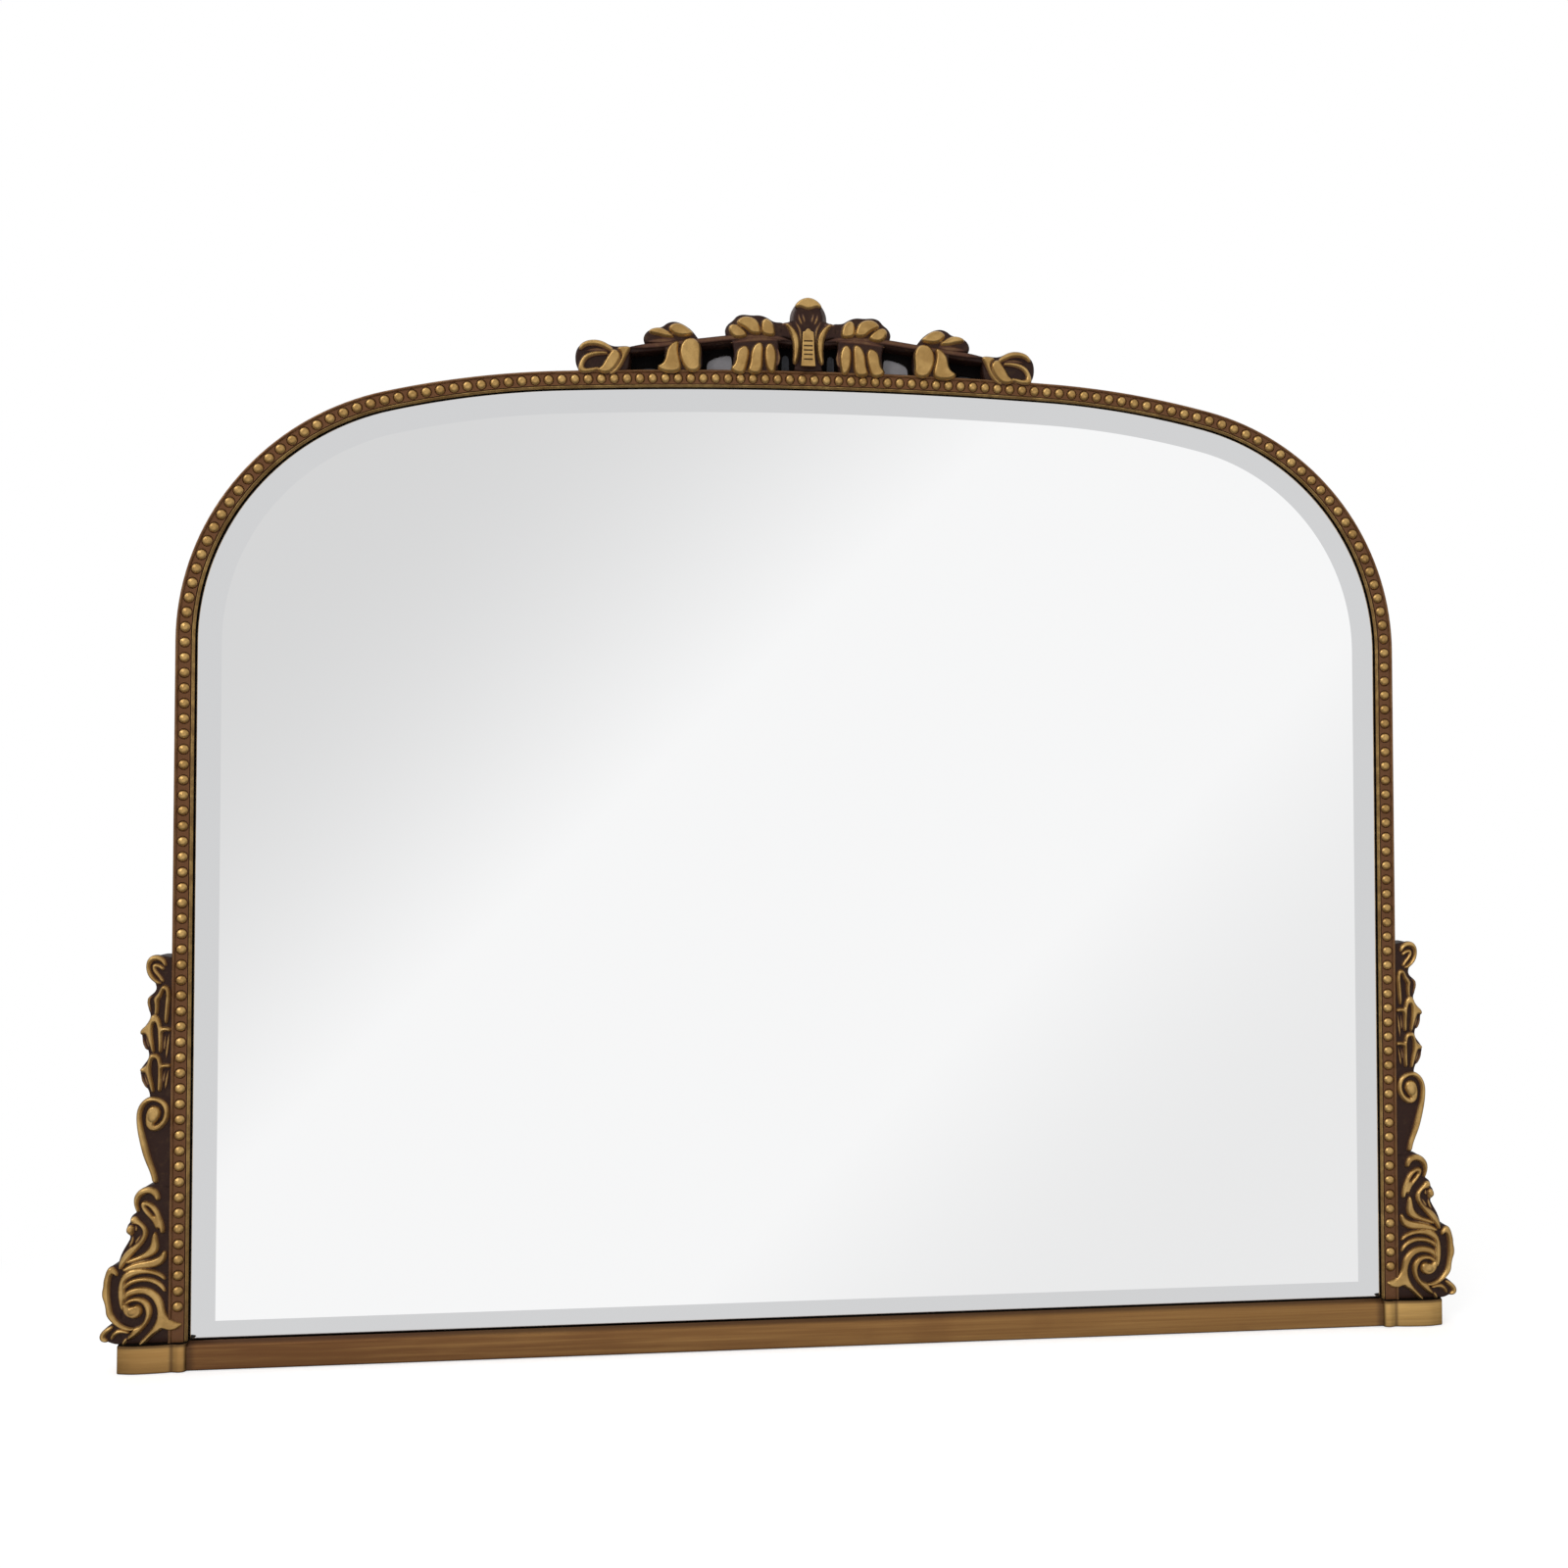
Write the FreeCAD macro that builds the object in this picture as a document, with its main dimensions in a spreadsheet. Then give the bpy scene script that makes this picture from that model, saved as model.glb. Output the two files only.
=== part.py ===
import FreeCAD, Part
import math
import os

# Arched wall mirror in a beaded frame: gilt composition ornament over a softwood moulding.
# Frame of the model: X to the right seen from the front, Y towards the wall, Z up.
# The origin is the middle of the bottom rail's underside.

# Driving sizes, in millimetres, degrees or counts: name, value and what it is.
SIZES = (
    ("frame_half_width", 555.0, "middle of the frame to a stile's outer face"),
    ("spring_height", 634.5, "underside of the rail to where the arch starts"),
    ("shoulder_radius", 232.0, "outer radius of the arch's shoulder"),
    ("shoulder_angle", 76.2, "turn of the shoulder arc"),
    ("haunch_radius", 820.0, "outer radius of the arch's haunch"),
    ("haunch_angle", 10.9, "turn of the haunch arc"),
    ("moulding_width", 17.0, "outer face to sight edge"),
    ("moulding_depth", 18.0, "front to back of the moulding"),
    ("rim_width", 3.5, "flat of the outer rim"),
    ("rim_chamfer", 1.0, "softened outer corner of the rim"),
    ("channel_depth", 4.0, "rim's front down to the bead channel's floor"),
    ("channel_slope", 0.7, "lean of each channel wall"),
    ("fillet_width", 2.3, "gilt fillet beside the sight edge"),
    ("fillet_setback", 2.0, "fillet's front behind the rim's front"),
    ("lip_thickness", 3.5, "channel floor to the glass seat"),
    ("bead_radius", 4.1, "half-round bead"),
    ("side_bead_pitch", 13.3, "bead to bead along a stile"),
    ("first_bead_height", 55.9, "lowest bead above the rail's underside"),
    ("arch_bead_count", 110, "beads along the arch"),
    ("rail_height", 24.0, "height of the bottom rail's face"),
    ("block_length", 57.0, "end block along X"),
    ("block_proud", 4.0, "end block's face in front of the rail"),
    ("block_bow", 1.2, "bow of the end block's face"),
    ("glass_thickness", 5.0, "silvered plate"),
    ("glass_cover", 6.0, "glass behind the sight edge"),
    ("glass_clearance", 1.5, "glass edge to the rebate wall"),
    ("bevel_width", 25.0, "polished bevel"),
    ("bevel_drop", 2.5, "thickness lost across the bevel"),
    ("coating_thickness", 0.3, "silver, copper and backing paint"),
    ("packing_clearance", 1.0, "packing sheet to the rebate wall"),
    ("panel_thickness", 15.0, "plywood back panel"),
    ("panel_inset", 0.8, "panel's edge inside the frame's outer face"),
    ("panel_bottom", 4.0, "panel's lower edge above the rail's underside"),
    ("pad_length", 40.0, "setting pad beside the glass edge"),
    ("screw_radius", 1.5, "shank of a wood screw"),
    ("screw_head_radius", 3.0, "countersunk head"),
    ("screw_head_height", 1.9, "countersunk head"),
    ("screw_length", 25.0, "panel screw"),
    ("screw_inset", 4.9, "panel screws inside the frame's outer face"),
    ("side_screw_count", 4, "panel screws into each stile"),
    ("arch_screw_count", 7, "panel screws into the arch"),
    ("rail_screw_count", 5, "panel screws into the rail"),
    ("rail_screw_height", 10.0, "rail screws above the underside"),
    ("dowel_radius", 2.5, "beech dowel of a frame joint"),
    ("dowel_length", 24.0, "beech dowel of a frame joint"),
    ("dowel_back_cover", 5.5, "wood behind a frame dowel's axis"),
    ("dowel_side_cover", 4.9, "wood outside a frame dowel's axis"),
    ("dowel_front_cover", 4.5, "wood in front of a rail dowel's axis"),
    ("pin_radius", 1.5, "pin that holds the side ornament"),
    ("pin_length", 14.0, "pin that holds the side ornament"),
    ("pin_stile_depth", 6.0, "pin's length inside the stile"),
    ("ornament_depth", 22.0, "side ornament front to back"),
    ("ornament_setback", 2.5, "side ornament's ground behind the rim's front"),
    ("ornament_relief", 3.0, "leaves in front of the ornament's ground"),
    ("palmette_width", 25.5, "palmette out from the stile"),
    ("palmette_height", 122.5, "palmette along the stile"),
    ("volute_width", 27.5, "scroll out from the stile"),
    ("volute_height", 76.0, "scroll along the stile"),
    ("volute_eye_radius", 5.5, "round eye of the scroll"),
    ("volute_ring_radius", 12.0, "outside of the scroll's ring"),
    ("volute_ring_width", 3.5, "raised ring of the scroll"),
    ("acanthus_width", 40.0, "acanthus out from the stile"),
    ("acanthus_height", 137.0, "acanthus above the end block"),
    ("acanthus_eye_radius", 7.0, "round eye of the acanthus scroll"),
    ("acanthus_ring_radius", 17.0, "outside of the acanthus scroll's ring"),
    ("acanthus_ring_width", 4.0, "raised ring of the acanthus scroll"),
    ("outer_leaf_width", 13.5, "serrated leaf out from the acanthus"),
    ("outer_leaf_height", 52.0, "serrated leaf"),
    ("claw_width", 16.0, "claw leaf out from the acanthus"),
    ("claw_height", 17.0, "claw leaf above the end block"),
    ("crest_proud", 1.0, "crest's ground behind the rim's front"),
    ("crest_relief", 3.5, "crest leaves in front of the crest's ground"),
    ("crest_lap", 2.5, "crest leaves in front of the rim"),
    ("finial_half_width", 21.0, "middle to the tip of a finial leaf"),
    ("finial_height", 68.0, "finial above the crown of the arch"),
    ("tongue_width", 12.0, "ribbed tongue of the finial"),
    ("tongue_height", 33.0, "ribbed tongue of the finial"),
    ("tongue_lift", 4.0, "tongue's foot above the crown"),
    ("tongue_relief", 2.0, "tongue in front of the finial's ground"),
    ("rib_pitch", 4.2, "rib to rib on the tongue"),
    ("rib_radius", 0.8, "half-round rib on the tongue"),
    ("rib_count", 5, "ribs on the tongue"),
    ("stem_start", 11.5, "inner end of a stem from the middle"),
    ("stem_length", 151.0, "stem along X"),
    ("stem_lift", 12.0, "stem's low end above the crown"),
    ("stem_height", 19.0, "rise of the stem with its own thickness"),
    ("stem_setback", 2.0, "stem's face behind the crest's ground"),
    ("leaf_drop", 5.0, "leaf tips below the crown"),
    ("inner_leaf_start", 28.0, "inner cluster from the middle"),
    ("inner_leaf_width", 46.0, "inner cluster along X"),
    ("inner_leaf_height", 55.0, "inner cluster"),
    ("middle_leaf_start", 98.0, "middle cluster from the middle"),
    ("middle_leaf_width", 50.0, "middle cluster along X"),
    ("middle_leaf_height", 46.0, "middle cluster"),
    ("end_leaf_start", 160.0, "end cluster from the middle"),
    ("end_leaf_width", 50.0, "end cluster along X"),
    ("end_leaf_height", 30.0, "end cluster"),
    ("end_leaf_drop", 7.0, "end cluster's tips below the crown"),
    ("plate_width", 16.0, "steel fixing plate of the crest"),
    ("plate_height", 40.0, "steel fixing plate of the crest"),
    ("plate_thickness", 2.0, "steel fixing plate of the crest"),
    ("plate_drop", 22.0, "plate's lower end below the crown"),
    ("plate_hole_margin", 8.0, "plate's screws from its ends"),
    ("plate_screw_length", 14.0, "screw of a fixing plate"),
    ("inner_plate_reach", 50.0, "inner plate from the middle"),
    ("middle_plate_reach", 112.0, "middle plate from the middle"),
    ("hanger_inset", 155.0, "middle of a hanger inside the frame's outer face"),
    ("hanger_rise", 65.5, "ring's axis above the spring of the arch"),
    ("strap_width", 20.0, "hanger strap"),
    ("strap_length", 60.0, "hanger strap"),
    ("strap_thickness", 1.5, "hanger strap"),
    ("strap_lift", 0.4, "knuckle clear of the panel"),
    ("knuckle_length", 18.0, "rolled knuckle of the strap"),
    ("ring_wire_radius", 2.0, "wire of the D-ring"),
    ("ring_clearance", 0.08, "wire to knuckle, all round"),
    ("ring_half_width", 14.0, "half of the D-ring, wire centre to middle"),
    ("ring_leg", 8.0, "straight leg of the D-ring"),
    ("ring_corner_radius", 3.5, "bend where the bar meets a leg"),
    ("strap_screw_drop", 32.0, "upper strap screw below the ring's axis"),
    ("strap_screw_pitch", 18.0, "strap screw to strap screw"),
    ("strap_screw_radius", 2.0, "shank of a strap screw"),
    ("strap_head_radius", 3.8, "pan head of a strap screw"),
    ("strap_head_height", 2.2, "pan head of a strap screw"),
    ("strap_screw_length", 12.0, "shank of a strap screw"),
    ("bumper_radius", 11.0, "rubber wall bumper"),
    ("bumper_thickness", 8.0, "rubber wall bumper"),
    ("bumper_inset", 55.0, "middle of a bumper inside the frame's outer face"),
    ("bumper_low", 60.0, "lower bumpers above the underside"),
    ("bumper_rise", 5.5, "upper bumpers above the spring of the arch"),
    ("cut_overrun", 5.0, "how far a cutting tool runs past what it cuts"),
)

# Heights of the side ornament's pins, as shares of the spring height.
PIN_HEIGHT_SHARES = (0.10, 0.20, 0.30, 0.41, 0.52)

# Outlines of the ornament, as shares of each piece's own width and height.
PALMETTE_SHARES = (
    (0.00, 0.00), (0.00, 0.98), (0.25, 1.00), (0.49, 1.00), (0.69, 0.98), (0.82, 0.92), (0.82, 0.88),
    (0.73, 0.83), (0.57, 0.78), (0.53, 0.75), (0.65, 0.73), (0.80, 0.69), (0.82, 0.65), (0.73, 0.60),
    (0.69, 0.56), (0.80, 0.51), (0.96, 0.46), (0.96, 0.42), (0.84, 0.35), (0.73, 0.29), (0.76, 0.25),
    (0.92, 0.22), (1.00, 0.18), (0.92, 0.12), (0.78, 0.05), (0.71, 0.00),
)
VOLUTE_SHARES = (
    (0.00, 0.00), (0.00, 1.00), (0.65, 1.00), (0.78, 0.95), (0.89, 0.88), (0.98, 0.78), (0.98, 0.66),
    (0.96, 0.53), (0.87, 0.42), (0.75, 0.28), (0.56, 0.11), (0.47, 0.00),
)
ACANTHUS_SHARES = (
    (0.00, 0.00), (0.00, 1.00), (0.33, 1.00), (0.49, 0.97), (0.63, 0.94), (0.70, 0.90), (0.69, 0.85),
    (0.64, 0.82), (0.73, 0.80), (0.75, 0.77), (0.74, 0.75), (0.84, 0.72), (0.81, 0.69), (0.71, 0.66),
    (0.76, 0.62), (0.91, 0.55), (1.00, 0.50), (1.00, 0.00),
)
OUTER_LEAF_SHARES = (
    (0.00, 0.00), (0.00, 1.00), (0.22, 0.99), (0.59, 0.94), (0.81, 0.83), (0.93, 0.71), (0.85, 0.63),
    (0.96, 0.52), (0.81, 0.38), (0.74, 0.25), (0.63, 0.13), (0.41, 0.04),
)
CLAW_SHARES = (
    (0.00, 0.00), (0.00, 1.00), (0.34, 1.00), (0.60, 0.90), (0.85, 0.66), (1.00, 0.44), (0.80, 0.15),
    (0.55, 0.05), (0.30, 0.00),
)
FINIAL_SHARES = (
    (0.00, 0.00), (0.62, 0.00), (0.62, 0.07), (0.57, 0.25), (0.62, 0.40), (0.76, 0.51), (1.00, 0.62),
    (0.86, 0.65), (0.81, 0.74), (0.74, 0.82), (0.52, 0.92), (0.29, 0.98), (0.00, 1.00),
)
STEM_SHARES = (
    (0.00, 0.82), (0.10, 0.79), (0.24, 0.69), (0.38, 0.55), (0.58, 0.39), (0.78, 0.18), (1.00, 0.00),
    (1.00, 0.32), (0.78, 0.50), (0.58, 0.68), (0.38, 0.84), (0.24, 0.95), (0.10, 1.00), (0.00, 0.98),
)
END_LEAF_SHARES = (
    (0.96, 0.17), (0.98, 0.53), (0.92, 0.80), (0.82, 0.95), (0.64, 1.00), (0.44, 0.93), (0.24, 0.82),
    (0.06, 0.80), (0.00, 0.73), (0.06, 0.47), (0.16, 0.20), (0.28, 0.03), (0.42, 0.00), (0.60, 0.07),
    (0.76, 0.02), (0.90, 0.03),
)
MIDDLE_LEAF_SHARES = (
    (0.72, 0.07), (0.64, 0.01), (0.40, 0.02), (0.16, 0.03), (0.02, 0.07), (0.01, 0.37), (0.03, 0.63),
    (0.10, 0.78), (0.26, 0.96), (0.44, 1.00), (0.60, 0.90), (0.78, 0.87), (0.94, 0.76), (0.99, 0.63),
    (0.90, 0.54), (0.70, 0.48), (0.58, 0.35), (0.61, 0.20),
)
INNER_LEAF_SHARES = (
    (0.86, 0.05), (0.70, 0.01), (0.39, 0.02), (0.11, 0.02), (0.01, 0.09), (0.00, 0.31), (0.02, 0.58),
    (0.02, 0.78), (0.11, 0.92), (0.30, 0.99), (0.50, 0.97), (0.67, 1.00), (0.83, 0.89), (0.98, 0.77),
    (1.00, 0.64), (0.89, 0.53), (0.78, 0.38), (0.79, 0.22),
)

# Raised leaves: centre, half width and half height as shares of the piece, and lean in degrees.
PALMETTE_LEAF_SHARES = (
    ((0.50, 0.90), (0.22, 0.045), -30.0),
    ((0.18, 0.66), (0.11, 0.090), 0.0),
    ((0.50, 0.43), (0.13, 0.100), 0.0),
    ((0.14, 0.38), (0.09, 0.075), 4.0),
    ((0.46, 0.15), (0.15, 0.100), 0.0),
    ((0.14, 0.12), (0.09, 0.080), 4.0),
)
ACANTHUS_LEAF_SHARES = (
    ((0.42, 0.92), (0.20, 0.035), -10.0),
    ((0.24, 0.82), (0.10, 0.090), -20.0),
    ((0.34, 0.63), (0.08, 0.060), 25.0),
    ((0.62, 0.66), (0.07, 0.080), 30.0),
)
INNER_FACE_SHARES = (
    ((0.74, 0.74), (0.15, 0.080), -25.0),
    ((0.50, 0.86), (0.15, 0.110), -20.0),
    ((0.15, 0.83), (0.10, 0.110), 8.0),
    ((0.68, 0.26), (0.12, 0.210), -15.0),
    ((0.40, 0.28), (0.12, 0.240), -8.0),
    ((0.10, 0.28), (0.09, 0.240), 3.0),
)
MIDDLE_FACE_SHARES = (
    ((0.70, 0.80), (0.16, 0.060), -8.0),
    ((0.34, 0.88), (0.20, 0.085), -18.0),
    ((0.54, 0.32), (0.13, 0.240), -14.0),
    ((0.17, 0.33), (0.14, 0.280), 0.0),
)
END_FACE_SHARES = (
    ((0.62, 0.84), (0.30, 0.100), -6.0),
    ((0.74, 0.36), (0.18, 0.200), -30.0),
    ((0.30, 0.46), (0.14, 0.380), -35.0),
)

doc = FreeCAD.newDocument("wall_mirror")
sheet = doc.addObject("Spreadsheet::Sheet", "Sizes")
for row, (alias, value, meaning) in enumerate(SIZES, start=1):
    sheet.set("A%d" % row, alias)
    sheet.set("B%d" % row, str(value))
    sheet.set("C%d" % row, meaning)
    sheet.setAlias("B%d" % row, alias)
doc.recompute()

SIDES = (("left", -1), ("right", 1))
UPWARD = FreeCAD.Vector(0, 0, 1)
TO_WALL = FreeCAD.Vector(0, 1, 0)
TO_ROOM = FreeCAD.Vector(0, -1, 0)
RIGHTWARD = FreeCAD.Vector(1, 0, 0)
ORIGIN = FreeCAD.Vector(0, 0, 0)

nodes = []


def size(alias):
    """Value of one cell of the sheet."""
    return float(sheet.get(alias))


def count(alias):
    """Whole number in one cell of the sheet."""
    return int(round(size(alias)))


def at(x, y, z):
    return FreeCAD.Vector(x, y, z)


def keep(thing, label):
    """Name a finished sub-part and list it for export."""
    thing.Label = label
    nodes.append(thing)
    return thing


def feature(label, shape):
    """Sub-part whose shape is worked out from the sheet in this file."""
    thing = doc.addObject("Part::Feature", label)
    thing.Shape = shape
    thing.Placement = FreeCAD.Placement()
    return keep(thing, label)


# Places that many pieces share, each worked out from the sheet.
rim_front = -size("moulding_depth") / 2
moulding_back = size("moulding_depth") / 2
fillet_front = rim_front + size("fillet_setback")
channel_floor = rim_front + size("channel_depth")
glass_seat = channel_floor + size("lip_thickness")
rebate_width = size("glass_cover") + size("glass_clearance")
sight_half_width = size("frame_half_width") - size("moulding_width")
rebate_floor = size("rail_height") - rebate_width
glass_inset = size("moulding_width") - size("glass_cover")
glass_bottom = size("rail_height") - size("glass_cover")
glass_edge_front = glass_seat + size("bevel_drop") * size("glass_cover") / size("bevel_width")
glass_back = glass_edge_front + size("glass_thickness") - size("bevel_drop")
glass_front = glass_back - size("glass_thickness")
coating_back = glass_back + size("coating_thickness")
hanger_reach = size("frame_half_width") - size("hanger_inset")
hanger_height = size("spring_height") + size("hanger_rise")
panel_back = moulding_back + size("panel_thickness")
bead_inset = (size("rim_width") + size("moulding_width") - size("fillet_width")) / 2


def arch_arcs(inset):
    """Arcs of the arch from the left spring point to the right one, this far inside the outer face.

    Each is a centre, a radius and the turn at its two ends, counted up from the left.
    """
    shoulder = size("shoulder_radius")
    haunch = size("haunch_radius")
    turn = math.radians(size("shoulder_angle"))
    full_turn = turn + math.radians(size("haunch_angle"))
    shoulder_x = size("frame_half_width") - shoulder
    haunch_x = shoulder_x - (haunch - shoulder) * math.cos(turn)
    haunch_z = size("spring_height") - (haunch - shoulder) * math.sin(turn)
    crown = haunch + haunch_x / math.cos(full_turn)
    crown_z = haunch_z - (crown - haunch) * math.sin(full_turn)
    return (
        (at(-shoulder_x, 0, size("spring_height")), shoulder - inset, 0.0, turn),
        (at(-haunch_x, 0, haunch_z), haunch - inset, turn, full_turn),
        (at(0, 0, crown_z), crown - inset, full_turn, math.pi - full_turn),
        (at(haunch_x, 0, haunch_z), haunch - inset, math.pi - full_turn, math.pi - turn),
        (at(shoulder_x, 0, size("spring_height")), shoulder - inset, math.pi - turn, math.pi),
    )


def on_arc(centre, radius, turn, y):
    """Point of an arc at a turn, in the plane at y."""
    return at(centre.x - radius * math.cos(turn), y, centre.z + radius * math.sin(turn))


def crown_height(inset):
    centre, radius, start, end = arch_arcs(inset)[2]
    return centre.z + radius


def arch_length(inset):
    return sum(radius * (end - start) for centre, radius, start, end in arch_arcs(inset))


def arch_station(inset, along, y):
    """Point on the arch this far along it from the left spring point."""
    left_over = along
    for centre, radius, start, end in arch_arcs(inset):
        length = radius * (end - start)
        if left_over <= length:
            break
        left_over -= length
    return on_arc(centre, radius, start + left_over / radius, y)


def arch_wire(inset, bottom, y):
    """Closed outline of the frame's opening: straight foot and sides under the arch."""
    half_width = size("frame_half_width") - inset
    spring = size("spring_height")
    corners = (at(half_width, y, spring), at(half_width, y, bottom),
               at(-half_width, y, bottom), at(-half_width, y, spring))
    edges = [Part.makeLine(first, second) for first, second in zip(corners, corners[1:])]
    for centre, radius, start, end in arch_arcs(inset):
        through = [on_arc(centre, radius, turn, y) for turn in (start, (start + end) / 2, end)]
        edges.append(Part.Arc(*through).toShape())
    return Part.Wire(edges)


def arch_slab(inset, bottom, front, back):
    """Flat sheet with the frame's outline."""
    return Part.Face(arch_wire(inset, bottom, front)).extrude(TO_WALL * (back - front))


def moulding_profile():
    """Section of the moulding: distance in from the outer face, and Y."""
    width = size("moulding_width")
    chamfer = size("rim_chamfer")
    slope = size("channel_slope")
    fillet_start = width - size("fillet_width")
    rebate_wall = width - rebate_width
    return (
        (0.0, moulding_back), (0.0, rim_front + chamfer), (chamfer, rim_front),
        (size("rim_width"), rim_front), (size("rim_width") + slope, channel_floor),
        (fillet_start - slope, channel_floor), (fillet_start, fillet_front),
        (width, fillet_front), (width, glass_seat), (rebate_wall, glass_seat),
        (rebate_wall, moulding_back),
    )


def origin_plane(body, role):
    for plane in body.Origin.OriginFeatures:
        if plane.Role == role:
            return plane
    raise ValueError("no plane " + role)


def outline_sketch(body, name, role, points):
    """Closed sketch of straight lines on one of the body's own planes."""
    sketch = body.newObject("Sketcher::SketchObject", name)
    sketch.AttachmentSupport = [(origin_plane(body, role), "")]
    sketch.MapMode = "FlatFace"
    for index, start in enumerate(points):
        end = points[(index + 1) % len(points)]
        sketch.addGeometry(Part.LineSegment(at(start[0], start[1], 0), at(end[0], end[1], 0)), False)
    return sketch


def blank_feature(name, shape):
    """Shape that a later cut finishes."""
    thing = doc.addObject("Part::Feature", name)
    thing.Shape = shape
    return thing


def placed(shape, sign):
    """The right-hand shape, mirrored when it is for the left."""
    return shape if sign > 0 else shape.mirror(ORIGIN, RIGHTWARD)


def padded(label, role, points, length_expression, symmetric=False):
    """Body padded from one closed outline; the pad's length comes from the sheet."""
    body = doc.addObject("PartDesign::Body", label)
    sketch = outline_sketch(body, label + "_outline", role, points)
    pad = body.newObject("PartDesign::Pad", label + "_pad")
    pad.Profile = sketch
    pad.Midplane = symmetric
    pad.setExpression("Length", length_expression)
    doc.recompute()
    return body


def cut(label, base, *tools):
    """Boolean cut of a sub-part by the pieces that sit in it."""
    blank = base
    for index, tool in enumerate(tools):
        step = doc.addObject("Part::Cut", "%s_cut_%d" % (label, index))
        step.Base = blank
        step.Tool = tool
        blank = step
    doc.recompute()
    return keep(blank, label)


def countersunk(point, direction, length):
    """Wood screw whose flat head ends flush at the point."""
    head = Part.makeCone(size("screw_head_radius"), size("screw_radius"), size("screw_head_height"),
                         point, direction)
    shank = Part.makeCylinder(size("screw_radius"), length, point, direction)
    return head.fuse(shank).removeSplitter()


def compound(shapes):
    return Part.makeCompound(list(shapes))


def panel_screw_places():
    """Points on the panel's back where it is screwed to the frame."""
    inset = size("screw_inset")
    foot = size("rail_height")
    rise = (size("spring_height") - foot) / count("side_screw_count")
    places = []
    for side, sign in SIDES:
        x = sign * (size("frame_half_width") - inset)
        for index in range(count("side_screw_count")):
            places.append(at(x, panel_back, foot + rise * (index + 0.5)))
    step = arch_length(inset) / count("arch_screw_count")
    for index in range(count("arch_screw_count")):
        places.append(arch_station(inset, step * (index + 0.5), panel_back))
    pitch = 2 * sight_half_width / count("rail_screw_count")
    middle = (count("rail_screw_count") - 1) / 2
    for index in range(count("rail_screw_count")):
        places.append(at(pitch * (index - middle), panel_back, size("rail_screw_height")))
    return places


def block_screw_places():
    """Points on the panel's back where the end blocks are screwed to it, below the glass rebate."""
    x = sight_half_width + size("moulding_width") / 2
    return [at(sign * x, panel_back, rebate_floor / 2) for side, sign in SIDES]


# Fasteners and dowels come first: the pieces that hold them are cut to their shape.
def make_panel_screws():
    places = panel_screw_places() + block_screw_places()
    return feature("panel_screws", compound(countersunk(place, TO_ROOM, size("screw_length"))
                                            for place in places))


def dowel(centre, direction, radius, length):
    return Part.makeCylinder(radius, length, centre - direction * (length / 2), direction)


def make_dowels():
    """Beech dowels: rail to end blocks, stiles to end blocks, stiles to arch."""
    radius = size("dowel_radius")
    length = size("dowel_length")
    x = size("frame_half_width") - size("dowel_side_cover")
    y = moulding_back - size("dowel_back_cover")
    heights = {"foot_dowels": size("rail_height"), "spring_dowels": size("spring_height")}
    made = {name: feature(name, compound(dowel(at(sign * x, y, height), UPWARD, radius, length)
                                         for side, sign in SIDES))
            for name, height in heights.items()}
    rail_y = rim_front + size("dowel_front_cover")
    rail = [dowel(at(sign * sight_half_width, rail_y, rebate_floor / 2), RIGHTWARD, radius, length)
            for side, sign in SIDES]
    made["rail_dowels"] = feature("rail_dowels", compound(rail))
    return made


def make_carving_pins(side, sign):
    """Pins that hold one side ornament to its stile."""
    y = moulding_back - size("dowel_back_cover")
    start = sign * (size("frame_half_width") - size("pin_stile_depth"))
    pins = [Part.makeCylinder(size("pin_radius"), size("pin_length"),
                              at(start, y, share * size("spring_height")), RIGHTWARD * sign)
            for share in PIN_HEIGHT_SHARES]
    return feature("carving_pins_" + side, compound(pins))


# Frame members.
def make_rail(screws, dowels):
    """Bottom rail with its rebate; seen from the end, front to the left."""
    height = size("rail_height")
    section = ((rim_front, 0.0), (rim_front, height), (glass_seat, height),
               (glass_seat, rebate_floor), (moulding_back, rebate_floor), (moulding_back, 0.0))
    blank = padded("rail_blank", "YZ_Plane", section,
                   "2 * (Sizes.frame_half_width - Sizes.moulding_width)", symmetric=True)
    return cut("bottom_rail", blank, screws, dowels["rail_dowels"])


def make_stile(side, sign, screws, dowels, pins):
    """Straight side of the frame, standing on its end block."""
    section = [(sign * (size("frame_half_width") - inward), y) for inward, y in moulding_profile()]
    blank = padded("stile_blank_" + side, "XY_Plane", section,
                   "Sizes.spring_height - Sizes.rail_height")
    blank.setExpression("Placement.Base.z", "Sizes.rail_height")
    doc.recompute()
    return cut("stile_" + side, blank, screws, dowels["foot_dowels"], dowels["spring_dowels"], pins)


def make_arch(screws, dowels):
    """Arched moulding: the section turned about each arc's centre."""
    pieces = []
    for centre, radius, start, end in arch_arcs(0.0):
        corners = [on_arc(centre, radius - inward, start, y) for inward, y in moulding_profile()]
        section = Part.Face(Part.makePolygon(corners + corners[:1]))
        pieces.append(section.revolve(centre, TO_WALL, math.degrees(end - start)))
    blank = blank_feature("arch_blank", join(pieces))
    return cut("arch_moulding", blank, screws, dowels["spring_dowels"])


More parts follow.
